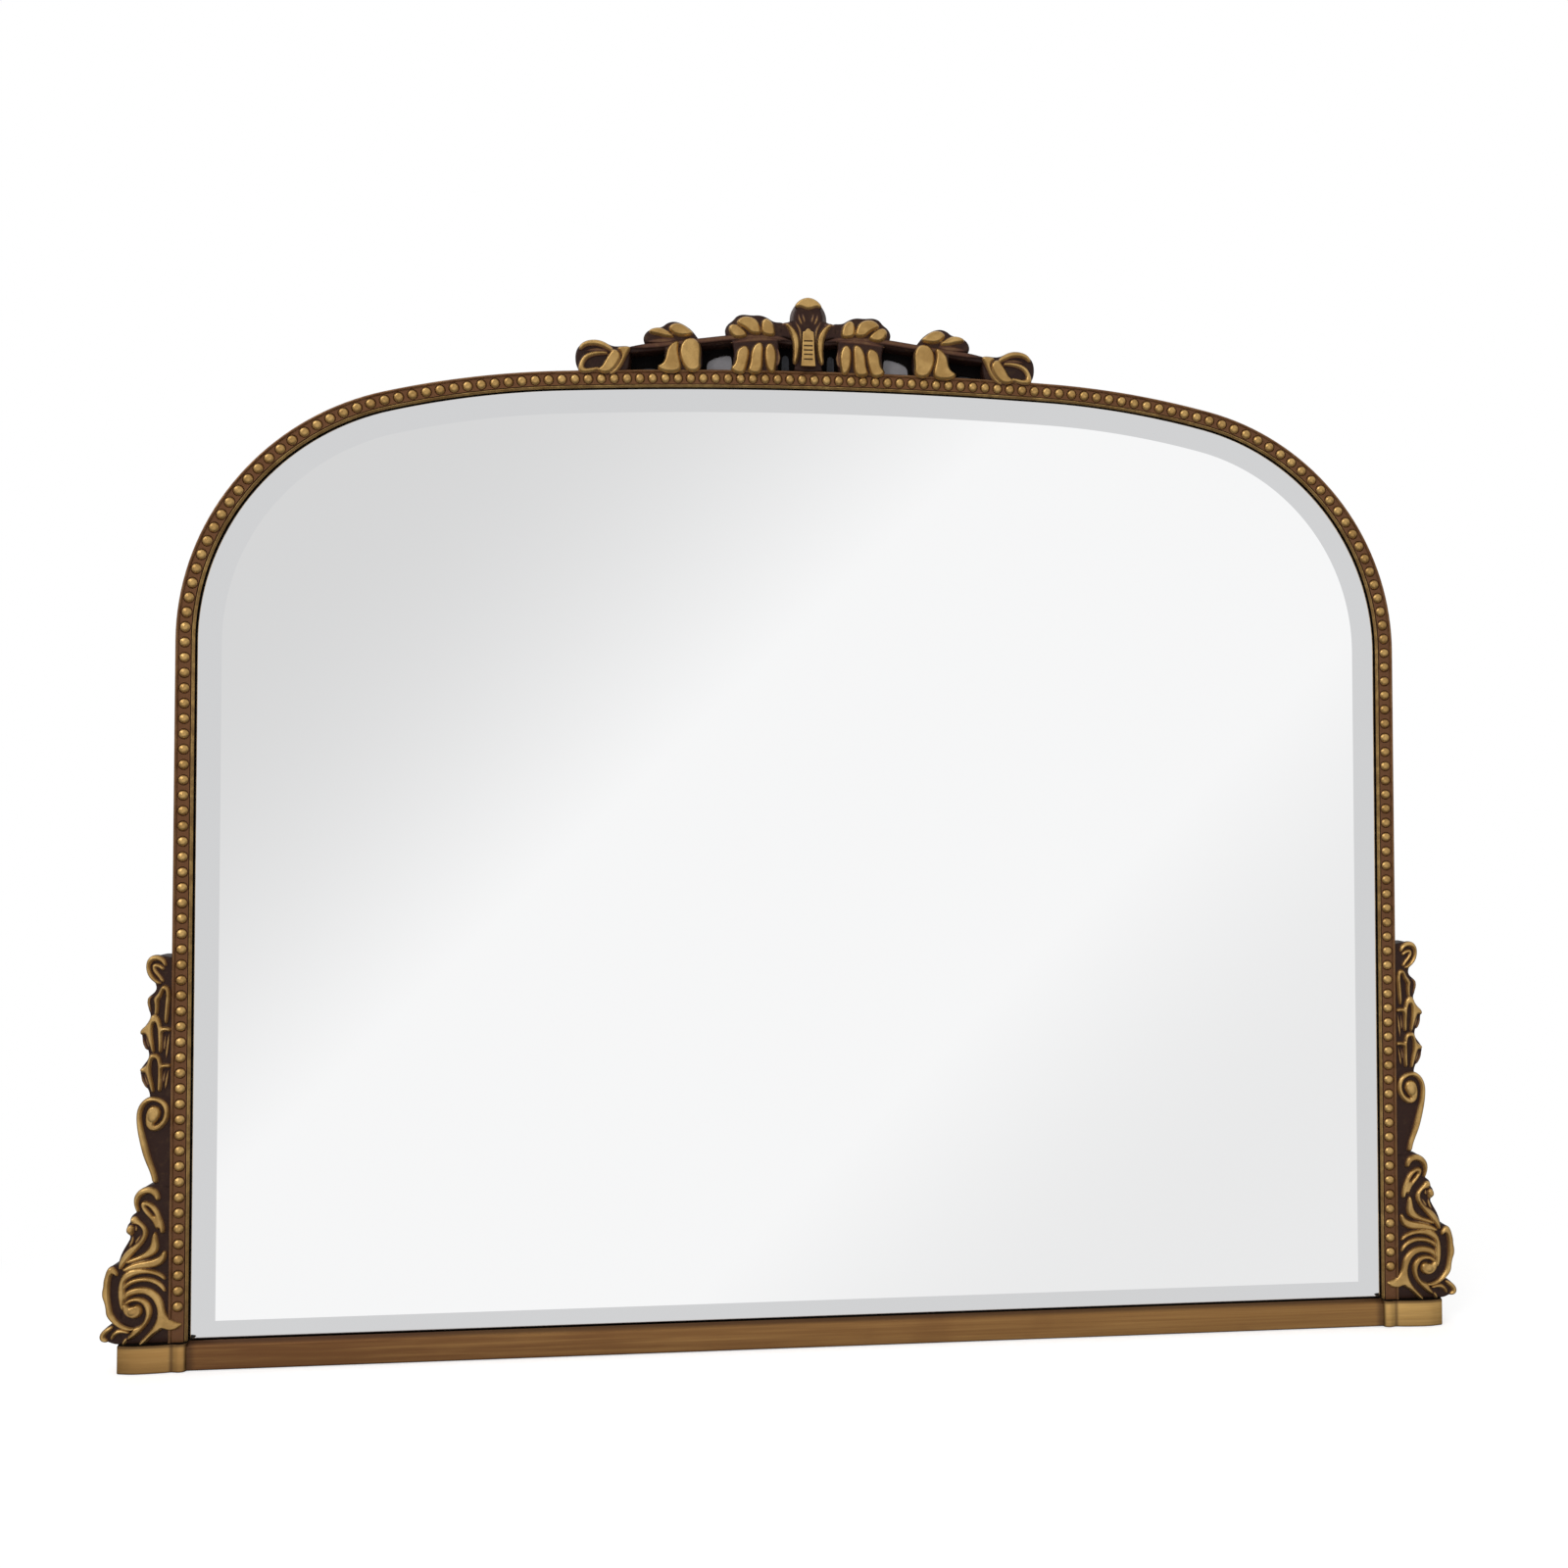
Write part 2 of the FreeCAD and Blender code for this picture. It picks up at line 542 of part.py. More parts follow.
def make_end_block(side, sign, screws, dowels):
    """Plain block under a stile, with a softly bowed face."""
    inner = sight_half_width
    outer = inner + size("block_length")
    front = rim_front - size("block_proud")
    shoulder = front + size("block_bow")
    face = Part.Arc(at(sign * inner, shoulder, 0), at(sign * (inner + outer) / 2, front, 0),
                    at(sign * outer, shoulder, 0)).toShape()
    back_corners = (at(sign * outer, shoulder, 0), at(sign * outer, moulding_back, 0),
                    at(sign * inner, moulding_back, 0), at(sign * inner, shoulder, 0))
    sides = [Part.makeLine(first, second) for first, second in zip(back_corners, back_corners[1:])]
    shape = Part.Face(Part.Wire([face] + sides)).extrude(UPWARD * size("rail_height"))
    run = size("cut_overrun")
    rebate = Part.makeBox(rebate_width + run, moulding_back - glass_seat + run, rebate_width + run,
                          at(inner - run, glass_seat, rebate_floor))
    blank = blank_feature("block_blank_" + side, shape.cut(placed(rebate, sign)))
    return cut("end_block_" + side, blank, screws, dowels["foot_dowels"], dowels["rail_dowels"])


def half_bead(place):
    """Half-round bead standing on the channel's floor."""
    return Part.makeSphere(size("bead_radius"), place, TO_ROOM, 0, 90, 360)


def make_beads():
    pitch = arch_length(bead_inset) / count("arch_bead_count")
    feature("beads_arch", compound(half_bead(arch_station(bead_inset, pitch * (index + 0.5), channel_floor))
                                   for index in range(count("arch_bead_count"))))
    run = size("spring_height") - size("first_bead_height")
    for side, sign in SIDES:
        x = sign * (size("frame_half_width") - bead_inset)
        rows = range(int(run / size("side_bead_pitch")) + 1)
        feature("beads_" + side, compound(
            half_bead(at(x, channel_floor, size("first_bead_height") + size("side_bead_pitch") * row))
            for row in rows))


# Glass and what backs it.
def make_glass():
    """Bevelled plate: a slab up to the bevel's foot, then the bevel as a ruled loft."""
    slab = arch_slab(glass_inset, glass_bottom, glass_edge_front, glass_back)
    foot = arch_wire(glass_inset, glass_bottom, glass_edge_front)
    top = arch_wire(glass_inset + size("bevel_width"), glass_bottom + size("bevel_width"), glass_front)
    return feature("mirror_glass", slab.fuse(Part.makeLoft([foot, top], True, True)))


def make_coating():
    return feature("mirror_coating", arch_slab(glass_inset, glass_bottom, glass_back, coating_back))


def make_packing():
    inset = size("moulding_width") - rebate_width + size("packing_clearance")
    bottom = rebate_floor + size("packing_clearance")
    return feature("packing_sheet", arch_slab(inset, bottom, coating_back, moulding_back))


def make_setting_pads():
    """Thin pads that hold the glass off the rebate: two under it and two at each side."""
    thick = size("glass_clearance")
    long_side = size("pad_length")
    shapes = []
    for side, sign in SIDES:
        corner = at(sign * sight_half_width / 2 - long_side / 2, glass_edge_front, rebate_floor)
        shapes.append(Part.makeBox(long_side, glass_back - glass_edge_front, thick, corner))
        inner = sign * (size("frame_half_width") - glass_inset)
        for share in (1 / 3, 2 / 3):
            corner = at(min(inner, inner + sign * thick), glass_edge_front,
                        share * size("spring_height"))
            shapes.append(Part.makeBox(thick, glass_back - glass_edge_front, long_side, corner))
    return feature("setting_pads", compound(shapes))


def make_panel(screws, extra_tools):
    blank = blank_feature("panel_blank", arch_slab(size("panel_inset"), size("panel_bottom"),
                                                   moulding_back, panel_back))
    return cut("back_panel", blank, screws, *extra_tools)


# Ornament.
def scaled(shares, left, bottom, width, height, y):
    return [at(left + width * across, y, bottom + height * up) for across, up in shares]


def flat_relief(points, depth, smooth=False):
    """Solid with the given outline, running from its plane towards the wall."""
    if smooth:
        curve = Part.BSplineCurve()
        curve.interpolate(Points=points, PeriodicFlag=True)
        wire = Part.Wire(curve.toShape())
    else:
        wire = Part.makePolygon(points + points[:1])
    return Part.Face(wire).extrude(TO_WALL * depth)


def raised_leaf(left, bottom, width, height, y, depth, leaf):
    """Oval leaf standing on the ornament's ground."""
    (across, up), (half_across, half_up), lean = leaf
    centre = at(left + width * across, y, bottom + height * up)
    major, minor = sorted((width * half_across, height * half_up), reverse=True)
    ellipse = Part.Ellipse(ORIGIN, major, minor)
    oval = Part.Face(Part.Wire(ellipse.toShape())).extrude(UPWARD * depth)
    upright = width * half_across < height * half_up
    turn = FreeCAD.Rotation(RIGHTWARD, -90)
    tilt = FreeCAD.Rotation(TO_WALL, lean + (90 if upright else 0))
    oval.Placement = FreeCAD.Placement(centre, tilt.multiply(turn))
    return oval


def join(shapes):
    return shapes[0].multiFuse(shapes[1:]).removeSplitter()


def with_leaves(ground, leaves, left, bottom, width, height, ground_front, relief):
    """Ground with its raised leaves, joined into one piece."""
    raised = [raised_leaf(left, bottom, width, height, ground_front - relief, relief * 2, leaf)
              for leaf in leaves]
    return join([ground] + raised)


def ring_boss(x, z, y, depth, ring_radius, ring_width, eye_radius):
    """Raised ring with a round eye: the plain form of a scroll."""
    start = at(x, y, z)
    ring = Part.makeCylinder(ring_radius, depth, start, TO_WALL)
    ring = ring.cut(Part.makeCylinder(ring_radius - ring_width, depth, start, TO_WALL))
    return [ring, Part.makeCylinder(eye_radius, depth, start, TO_WALL)]


def make_side_ornament(side, sign, pins):
    """Palmette, scroll, acanthus, serrated leaf and claw beside one stile."""
    left = size("frame_half_width")
    ground = rim_front + size("ornament_setback")
    relief = size("ornament_relief")
    depth = size("ornament_depth") - size("ornament_setback")
    foot = size("rail_height")
    acanthus_top = foot + size("acanthus_height")
    volute_top = acanthus_top + size("volute_height")

    width, height = size("palmette_width"), size("palmette_height")
    shape = flat_relief(scaled(PALMETTE_SHARES, left, volute_top, width, height, ground), depth)
    shape = with_leaves(shape, PALMETTE_LEAF_SHARES, left, volute_top, width, height, ground, relief)
    cut("palmette_" + side, blank_feature("palmette_blank_" + side, placed(shape, sign)), pins)

    width, height = size("volute_width"), size("volute_height")
    shape = flat_relief(scaled(VOLUTE_SHARES, left, acanthus_top, width, height, ground), depth)
    eye_x = left + size("volute_ring_radius")
    eye_z = volute_top - size("volute_ring_radius") - size("volute_ring_width")
    boss = ring_boss(eye_x, eye_z, ground - relief, relief * 2, size("volute_ring_radius"),
                     size("volute_ring_width"), size("volute_eye_radius"))
    shape = join([shape] + boss)
    cut("volute_" + side, blank_feature("volute_blank_" + side, placed(shape, sign)), pins)

    width, height = size("acanthus_width"), size("acanthus_height")
    shape = flat_relief(scaled(ACANTHUS_SHARES, left, foot, width, height, ground), depth)
    shape = with_leaves(shape, ACANTHUS_LEAF_SHARES, left, foot, width, height, ground, relief)
    ring = size("acanthus_ring_radius")
    boss = ring_boss(left + width - ring, foot + ring * 2, ground - relief, relief * 2, ring,
                     size("acanthus_ring_width"), size("acanthus_eye_radius"))
    shape = join([shape] + boss)
    cut("acanthus_" + side, blank_feature("acanthus_blank_" + side, placed(shape, sign)), pins)

    edge = left + width
    width, height = size("claw_width"), size("claw_height")
    shape = flat_relief(scaled(CLAW_SHARES, edge, foot, width, height, ground), depth)
    feature("claw_" + side, placed(shape, sign))

    width, height = size("outer_leaf_width"), size("outer_leaf_height")
    bottom = foot + size("claw_height")
    shape = flat_relief(scaled(OUTER_LEAF_SHARES, edge, bottom, width, height, ground), depth)
    feature("outer_leaf_" + side, placed(shape, sign))


def frame_region():
    """Space of the frame and panel behind the rim's front, which the crest sits round."""
    return arch_slab(0.0, 0.0, rim_front, panel_back + size("cut_overrun"))


def make_crest(screws):
    """Finial and tongue in the middle; a stem and three leaf clusters on each side."""
    crown = crown_height(0.0)
    ground = rim_front + size("crest_proud")
    relief = size("crest_relief")
    lap_front = rim_front - size("crest_lap")
    depth = panel_back - lap_front
    taken = frame_region()

    half_width = size("finial_half_width")
    height = size("finial_height")
    outline = scaled(FINIAL_SHARES, 0.0, crown, half_width, height, lap_front)
    mirrored = [at(-point.x, point.y, point.z) for point in reversed(outline[1:-1])]
    finial = flat_relief(outline + mirrored, depth).cut(taken)
    cut("crest_finial", blank_feature("finial_blank", finial), screws)

    width = size("tongue_width")
    front = lap_front - size("tongue_relief")
    low = crown + size("tongue_lift")
    tongue = Part.makeBox(width, size("tongue_relief"), size("tongue_height"), at(-width / 2, front, low))
    ribs = [Part.makeCylinder(size("rib_radius"), width,
                              at(-width / 2, front, low + size("rib_pitch") * (index + 1)), RIGHTWARD)
            for index in range(count("rib_count"))]
    feature("crest_tongue", tongue.cut(compound(ribs)))

    start, length = size("stem_start"), size("stem_length")
    stem_front = ground + size("stem_setback")
    stem_points = scaled(STEM_SHARES, start, crown + size("stem_lift"), length, size("stem_height"), stem_front)
    stem = flat_relief(stem_points, panel_back - stem_front).cut(finial)
    clusters = (
        ("inner", INNER_LEAF_SHARES, INNER_FACE_SHARES, size("leaf_drop")),
        ("middle", MIDDLE_LEAF_SHARES, MIDDLE_FACE_SHARES, size("leaf_drop")),
        ("end", END_LEAF_SHARES, END_FACE_SHARES, size("end_leaf_drop")),
    )
    for side, sign in SIDES:
        feature("crest_stem_" + side, placed(stem, sign))
        for name, outline, faces, drop in clusters:
            left = size(name + "_leaf_start")
            width = size(name + "_leaf_width")
            height = size(name + "_leaf_height")
            bottom = crown - drop
            shape = flat_relief(scaled(outline, left, bottom, width, height, ground),
                                panel_back - ground, smooth=True)
            shape = with_leaves(shape, faces, left, bottom, width, height, ground, relief)
            shape = shape.cut(taken).cut(stem)
            label = "crest_leaf_%s_%s" % (name, side)
            cut(label, blank_feature(label + "_blank", placed(shape, sign)), screws)


def plate_places():
    """Middle of each fixing plate along X."""
    reaches = (size("inner_plate_reach"), size("middle_plate_reach"))
    return [0.0] + [sign * reach for reach in reaches for side, sign in SIDES]


def make_crest_screws():
    """Two screws in each fixing plate: one into the crest and one into the panel."""
    low = crown_height(0.0) - size("plate_drop")
    heights = (low + size("plate_hole_margin"), low + size("plate_height") - size("plate_hole_margin"))
    y = panel_back + size("plate_thickness")
    return feature("crest_screws", compound(countersunk(at(x, y, z), TO_ROOM, size("plate_screw_length"))
                                            for x in plate_places() for z in heights))


def make_crest_plates(screws):
    low = crown_height(0.0) - size("plate_drop")
    width = size("plate_width")
    shapes = [Part.makeBox(width, size("plate_thickness"), size("plate_height"),
                           at(x - width / 2, panel_back, low)) for x in plate_places()]
    return cut("crest_plates", blank_feature("plates_blank", compound(shapes)), screws)


# Hangers and wall bumpers.
def ring_axis_y():
    """Y of the D-ring's bar, behind the panel."""
    bore = size("ring_wire_radius") + size("ring_clearance")
    return panel_back + size("strap_lift") + bore + size("strap_thickness")


def make_hanger_screws():
    """Pan-head screws: two in each strap."""
    shapes = []
    for side, sign in SIDES:
        for index in range(2):
            z = hanger_height - size("strap_screw_drop") - size("strap_screw_pitch") * index
            seat = at(sign * hanger_reach, panel_back + size("strap_thickness"), z)
            head = Part.makeCylinder(size("strap_head_radius"), size("strap_head_height"), seat, TO_WALL)
            shank = Part.makeCylinder(size("strap_screw_radius"), size("strap_screw_length"), seat, TO_ROOM)
            shapes.append(head.fuse(shank))
    return feature("hanger_screws", compound(shapes))


def make_strap(side, sign, screws):
    """Flat strap rolled into a knuckle round the ring's bar."""
    x = sign * hanger_reach
    z = hanger_height
    bore = size("ring_wire_radius") + size("ring_clearance")
    outer = bore + size("strap_thickness")
    width = size("strap_width")
    knuckle = size("knuckle_length")
    strap = Part.makeBox(width, size("strap_thickness"), size("strap_length") - outer,
                         at(x - width / 2, panel_back, z - size("strap_length")))
    neck = Part.makeBox(knuckle, size("strap_thickness") + size("strap_lift"), outer,
                        at(x - knuckle / 2, panel_back, z - outer))
    roll = Part.makeCylinder(outer, knuckle, at(x - knuckle / 2, ring_axis_y(), z), RIGHTWARD)
    hole = Part.makeCylinder(bore, knuckle, at(x - knuckle / 2, ring_axis_y(), z), RIGHTWARD)
    shape = join([strap, neck, roll]).cut(hole)
    return cut("hanger_strap_" + side, blank_feature("strap_blank_" + side, shape), screws)


def make_ring(side, sign):
    """D-ring hanging from its straight bar: bar, rounded corners, legs and a half circle."""
    half = size("ring_half_width")
    leg = size("ring_leg")
    corner = size("ring_corner_radius")
    x = sign * hanger_reach
    y = ring_axis_y()
    z = hanger_height
    bend = corner * (1 - math.cos(math.pi / 4))
    edges = [
        Part.makeLine(at(x - half + corner, y, z), at(x + half - corner, y, z)),
        Part.Arc(at(x + half - corner, y, z), at(x + half - bend, y, z - bend),
                 at(x + half, y, z - corner)).toShape(),
        Part.makeLine(at(x + half, y, z - corner), at(x + half, y, z - leg)),
        Part.Arc(at(x + half, y, z - leg), at(x, y, z - leg - half), at(x - half, y, z - leg)).toShape(),
        Part.makeLine(at(x - half, y, z - leg), at(x - half, y, z - corner)),
        Part.Arc(at(x - half, y, z - corner), at(x - half + bend, y, z - bend),
                 at(x - half + corner, y, z)).toShape(),
    ]
    section = Part.Wire(Part.makeCircle(size("ring_wire_radius"), at(x - half + corner, y, z), RIGHTWARD))
    shape = Part.Wire(edges).makePipeShell([section], True, True)
    return feature("hanger_ring_" + side, shape)


def make_bumpers():
    """Rubber discs glued to the panel's back."""
    reach = size("frame_half_width") - size("bumper_inset")
    heights = (size("bumper_low"), size("spring_height") + size("bumper_rise"))
    shapes = [Part.makeCylinder(size("bumper_radius"), size("bumper_thickness"),
                                at(sign * reach, panel_back, z), TO_WALL)
              for side, sign in SIDES for z in heights]
    return feature("wall_bumpers", compound(shapes))


def build():
    panel_screws = make_panel_screws()
    dowels = make_dowels()
    crest_screws = make_crest_screws()
    hanger_screws = make_hanger_screws()
    make_rail(panel_screws, dowels)
    for side, sign in SIDES:
        pins = make_carving_pins(side, sign)
        make_stile(side, sign, panel_screws, dowels, pins)
        make_end_block(side, sign, panel_screws, dowels)
        make_side_ornament(side, sign, pins)
        make_strap(side, sign, hanger_screws)
        make_ring(side, sign)
    make_arch(panel_screws, dowels)
    make_beads()
    make_glass()
    make_coating()
    make_packing()
    make_setting_pads()
    make_panel(panel_screws, (crest_screws, hanger_screws))
    make_crest(crest_screws)
    make_crest_plates(crest_screws)
    make_bumpers()
    doc.recompute()


def check():
    """Stop before anything is written if any object failed."""
    for thing in doc.Objects:
        if "Invalid" in thing.State or "Error" in thing.State:
            raise RuntimeError(thing.Name + " failed: " + ", ".join(thing.State))
    for node in nodes:
        if node.Shape.isNull() or not node.Shape.isValid() or not node.Shape.Solids:
            raise RuntimeError(node.Label + " has no valid solid")


def export():
    os.makedirs("parts", exist_ok=True)
    for node in nodes:
        node.Shape.exportStep("parts/%s.step" % node.Label)
        box = node.Shape.BoundBox
        print("%-24s %3d solids  X %.1f..%.1f  Y %.1f..%.1f  Z %.1f..%.1f" % (
            node.Label, len(node.Shape.Solids), box.XMin, box.XMax, box.YMin, box.YMax, box.ZMin, box.ZMax))


build()
check()
export()
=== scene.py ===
"""Arched overmantel mirror: bevelled glass in a beaded gilt frame, with a leaf crest and side scrolls.

The frame has X to the right, Y towards the wall and Z up, seen from the front. The sizes of the pieces are
in millimetres, and MM turns them into Blender's metres.
"""

import logging
import math
from collections.abc import Callable, Iterable
from dataclasses import dataclass, field
from enum import Enum

import bmesh
import bpy
from mathutils import Matrix, Vector
from mathutils.kdtree import KDTree


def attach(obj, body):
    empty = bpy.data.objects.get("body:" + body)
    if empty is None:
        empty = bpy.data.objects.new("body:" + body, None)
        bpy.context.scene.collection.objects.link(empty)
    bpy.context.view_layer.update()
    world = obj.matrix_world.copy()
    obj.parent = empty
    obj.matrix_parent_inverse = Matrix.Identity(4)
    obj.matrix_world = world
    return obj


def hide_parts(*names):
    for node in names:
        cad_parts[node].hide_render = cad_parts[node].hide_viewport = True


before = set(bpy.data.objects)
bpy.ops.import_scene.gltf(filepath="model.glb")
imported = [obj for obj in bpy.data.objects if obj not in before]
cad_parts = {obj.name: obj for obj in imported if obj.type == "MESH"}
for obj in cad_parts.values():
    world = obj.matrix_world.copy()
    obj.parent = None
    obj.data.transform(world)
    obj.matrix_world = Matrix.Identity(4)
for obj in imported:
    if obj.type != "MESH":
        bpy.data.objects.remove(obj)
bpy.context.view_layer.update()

LOG = logging.getLogger("overmantel")
MM = 0.001
# Points nearer than this are one point, in metres.
SAME_PLACE = 1e-6
# Every modelled piece rides on this body; the rings that swing are CAD nodes.
BODY = "mirror"

Section = tuple[tuple[float, float], ...]
Line = tuple[tuple[float, float, float], ...]
Colour = tuple[float, float, float]
Span = tuple[float, float]


class Side(Enum):
    """Side of the mirror, seen from the front."""

    LEFT = "left"
    RIGHT = "right"

    @property
    def other(self) -> "Side":
        """The side across the middle plane."""
        return Side.LEFT if self is Side.RIGHT else Side.RIGHT


class Zone(Enum):
    """Finish zone of the moulding, in the order of its material slots."""

    RIM = 0
    BAND = 1
    FILLET = 2
    SIGHT = 3


# Bench work: the few moves that all the pieces share.


def put_down() -> None:
    """Leave edit mode and deselect everything."""
    if bpy.context.object is not None and bpy.context.object.mode != "OBJECT":
        bpy.ops.object.mode_set(mode="OBJECT")
    bpy.ops.object.select_all(action="DESELECT")


def pick_up(*things: bpy.types.Object) -> bpy.types.Object:
    """Select only these objects.

    Args:
        things: the objects; the first becomes the active one.

    Returns:
        The active object.
    """
    put_down()
    for thing in things:
        thing.select_set(True)
    bpy.context.view_layer.objects.active = things[0]
    return things[0]


def open_up(thing: bpy.types.Object, element: str = "FACE", chosen: str = "SELECT") -> None:
    """Pick an object up and enter edit mode.

    Args:
        thing: the mesh object.
        element: what its select mode picks: VERT, EDGE or FACE.
        chosen: SELECT to start with all of it selected, DESELECT with none.
    """
    pick_up(thing)
    bpy.ops.object.mode_set(mode="EDIT")
    bpy.ops.mesh.select_mode(type=element)
    bpy.ops.mesh.select_all(action=chosen)


def close_up() -> None:
    """Leave edit mode."""
    bpy.ops.object.mode_set(mode="OBJECT")


def open_at(thing: bpy.types.Object, element: str, wanted: Callable[..., bool]) -> None:
    """Pick an object up and enter edit mode with some of its edges or faces selected.

    Args:
        thing: the mesh object.
        element: EDGE or FACE.
        wanted: says of an edge or face whether it is one of them.
    """
    open_up(thing, element, "DESELECT")
    close_up()
    for part in thing.data.edges if element == "EDGE" else thing.data.polygons:
        part.select = wanted(part)
    bpy.ops.object.mode_set(mode="EDIT")


def seal(thing: bpy.types.Object, gap: float = 20 * SAME_PLACE) -> bpy.types.Object:
    """Merge doubled points and turn all faces outwards.

    Args:
        thing: a closed mesh.
        gap: points nearer than this become one, in metres.

    Returns:
        The same object.
    """
    open_up(thing)
    bpy.ops.mesh.remove_doubles(threshold=gap)
    bpy.ops.mesh.normals_make_consistent(inside=False)
    close_up()
    return thing


def apply_modifier(thing: bpy.types.Object, kind: str, **values: object) -> None:
    """Add one modifier, set it and apply it.

    Args:
        thing: the mesh object.
        kind: Blender's name for the modifier.
        values: its settings.
    """
    pick_up(thing)
    modifier = thing.modifiers.new(kind.lower(), kind)
    for name, value in values.items():
        setattr(modifier, name, value)
    bpy.ops.object.modifier_apply(modifier=modifier.name)


def smooth(thing: bpy.types.Object, angle: float = 40.0) -> None:
    """Shade smooth except across edges sharper than the angle, in degrees."""
    pick_up(thing)
    bpy.ops.object.shade_smooth_by_angle(angle=math.radians(angle))


def weld(things: list[bpy.types.Object], name: str) -> bpy.types.Object:
    """Join objects into one mesh.

    Args:
        things: mesh objects.
        name: name of the result.

    Returns:
        The joined object.
    """
    whole = pick_up(*things)
    if len(things) > 1:
        bpy.ops.object.join()
    whole.name = whole.data.name = name
    return whole


def outline_face(corners: Iterable[Vector], name: str) -> bpy.types.Object:
    """Flat polygon, from a circle with one point for each corner.

    Args:
        corners: its corners in order, in millimetres.
        name: name of the new object.

    Returns:
        The new object, at the origin.
    """
    places = list(corners)
    put_down()
    bpy.ops.mesh.primitive_circle_add(vertices=len(places), radius=MM, fill_type="NGON")
    face = bpy.context.object
    face.name = name
    for vertex, place in zip(face.data.vertices, places):
        vertex.co = place * MM
    return face


def extrude(thing: bpy.types.Object, *way: float) -> bpy.types.Object:
    """Extrude a flat polygon into a closed solid.

    Args:
        thing: the polygon.
        way: how far it goes along X, Y and Z, in millimetres.

    Returns:
        The same object.
    """
    open_up(thing)
    bpy.ops.mesh.extrude_region_move(TRANSFORM_OT_translate={"value": tuple(share * MM for share in way)})
    close_up()
    return seal(thing)


def copied(thing: bpy.types.Object, name: str, move: Matrix) -> bpy.types.Object:
    """Copy of an object with its own mesh, moved by a matrix.

    Args:
        thing: the object to copy.
        name: name of the copy.
        move: place of the copy; one that mirrors turns its faces back outwards.

    Returns:
        The copy.
    """
    put_down()
    copy = thing.copy()
    copy.data = thing.data.copy()
    bpy.context.collection.objects.link(copy)
    copy.data.transform(move)
    if move.determinant() < 0:
        copy.data.flip_normals()
    copy.name = copy.data.name = name
    return copy


def mirrored(thing: bpy.types.Object, name: str) -> bpy.types.Object:
    """Copy of an object on the other side of the middle plane."""
    return copied(thing, name, Matrix.Scale(-1.0, 4, Vector((1.0, 0.0, 0.0))))


def moved(*way: float) -> Matrix:
    """Matrix of a move along X, Y and Z, in millimetres."""
    return Matrix.Translation(Vector(way) * MM)


def fit_out(piece: bpy.types.Object, node: str, finishes: list[bpy.types.Material]) -> None:
    """Dress a finished piece, put it on the mirror's body and hide the CAD node that it replaces.

    Args:
        piece: the finished mesh.
        node: CAD node that it replaces.
        finishes: its materials, in slot order.
    """
    for finish in finishes:
        piece.data.materials.append(finish)
    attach(piece, BODY)
    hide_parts(node)
    LOG.info("%s: %d faces, for %s", piece.name, len(piece.data.polygons), node)


def fit_out_pair(
    piece: bpy.types.Object, side: Side, name: str, node: str, finishes: list[bpy.types.Material]
) -> None:
    """Dress a finished piece of one side, and its mirror image.

    Args:
        piece: the finished mesh.
        side: the side it is on.
        name: name of the two pieces, with {} for their side.
        node: name of the two CAD nodes that they replace, with {} for their side.
        finishes: their materials, in slot order.
    """
    twin = mirrored(piece, name.format(side.other.value))
    piece.name = name.format(side.value)
    fit_out(piece, node.format(side.value), finishes)
    fit_out(twin, node.format(side.other.value), finishes)


# Node workbench: short ways to write the materials.


@dataclass(frozen=True)
class Grain:
    """Noise pattern: how fine it is, its layers, how rough they are, and how it is packed along each axis."""

    scale: float
    detail: float = 3.0
    rough: float = 0.55
    packed: Colour | None = None


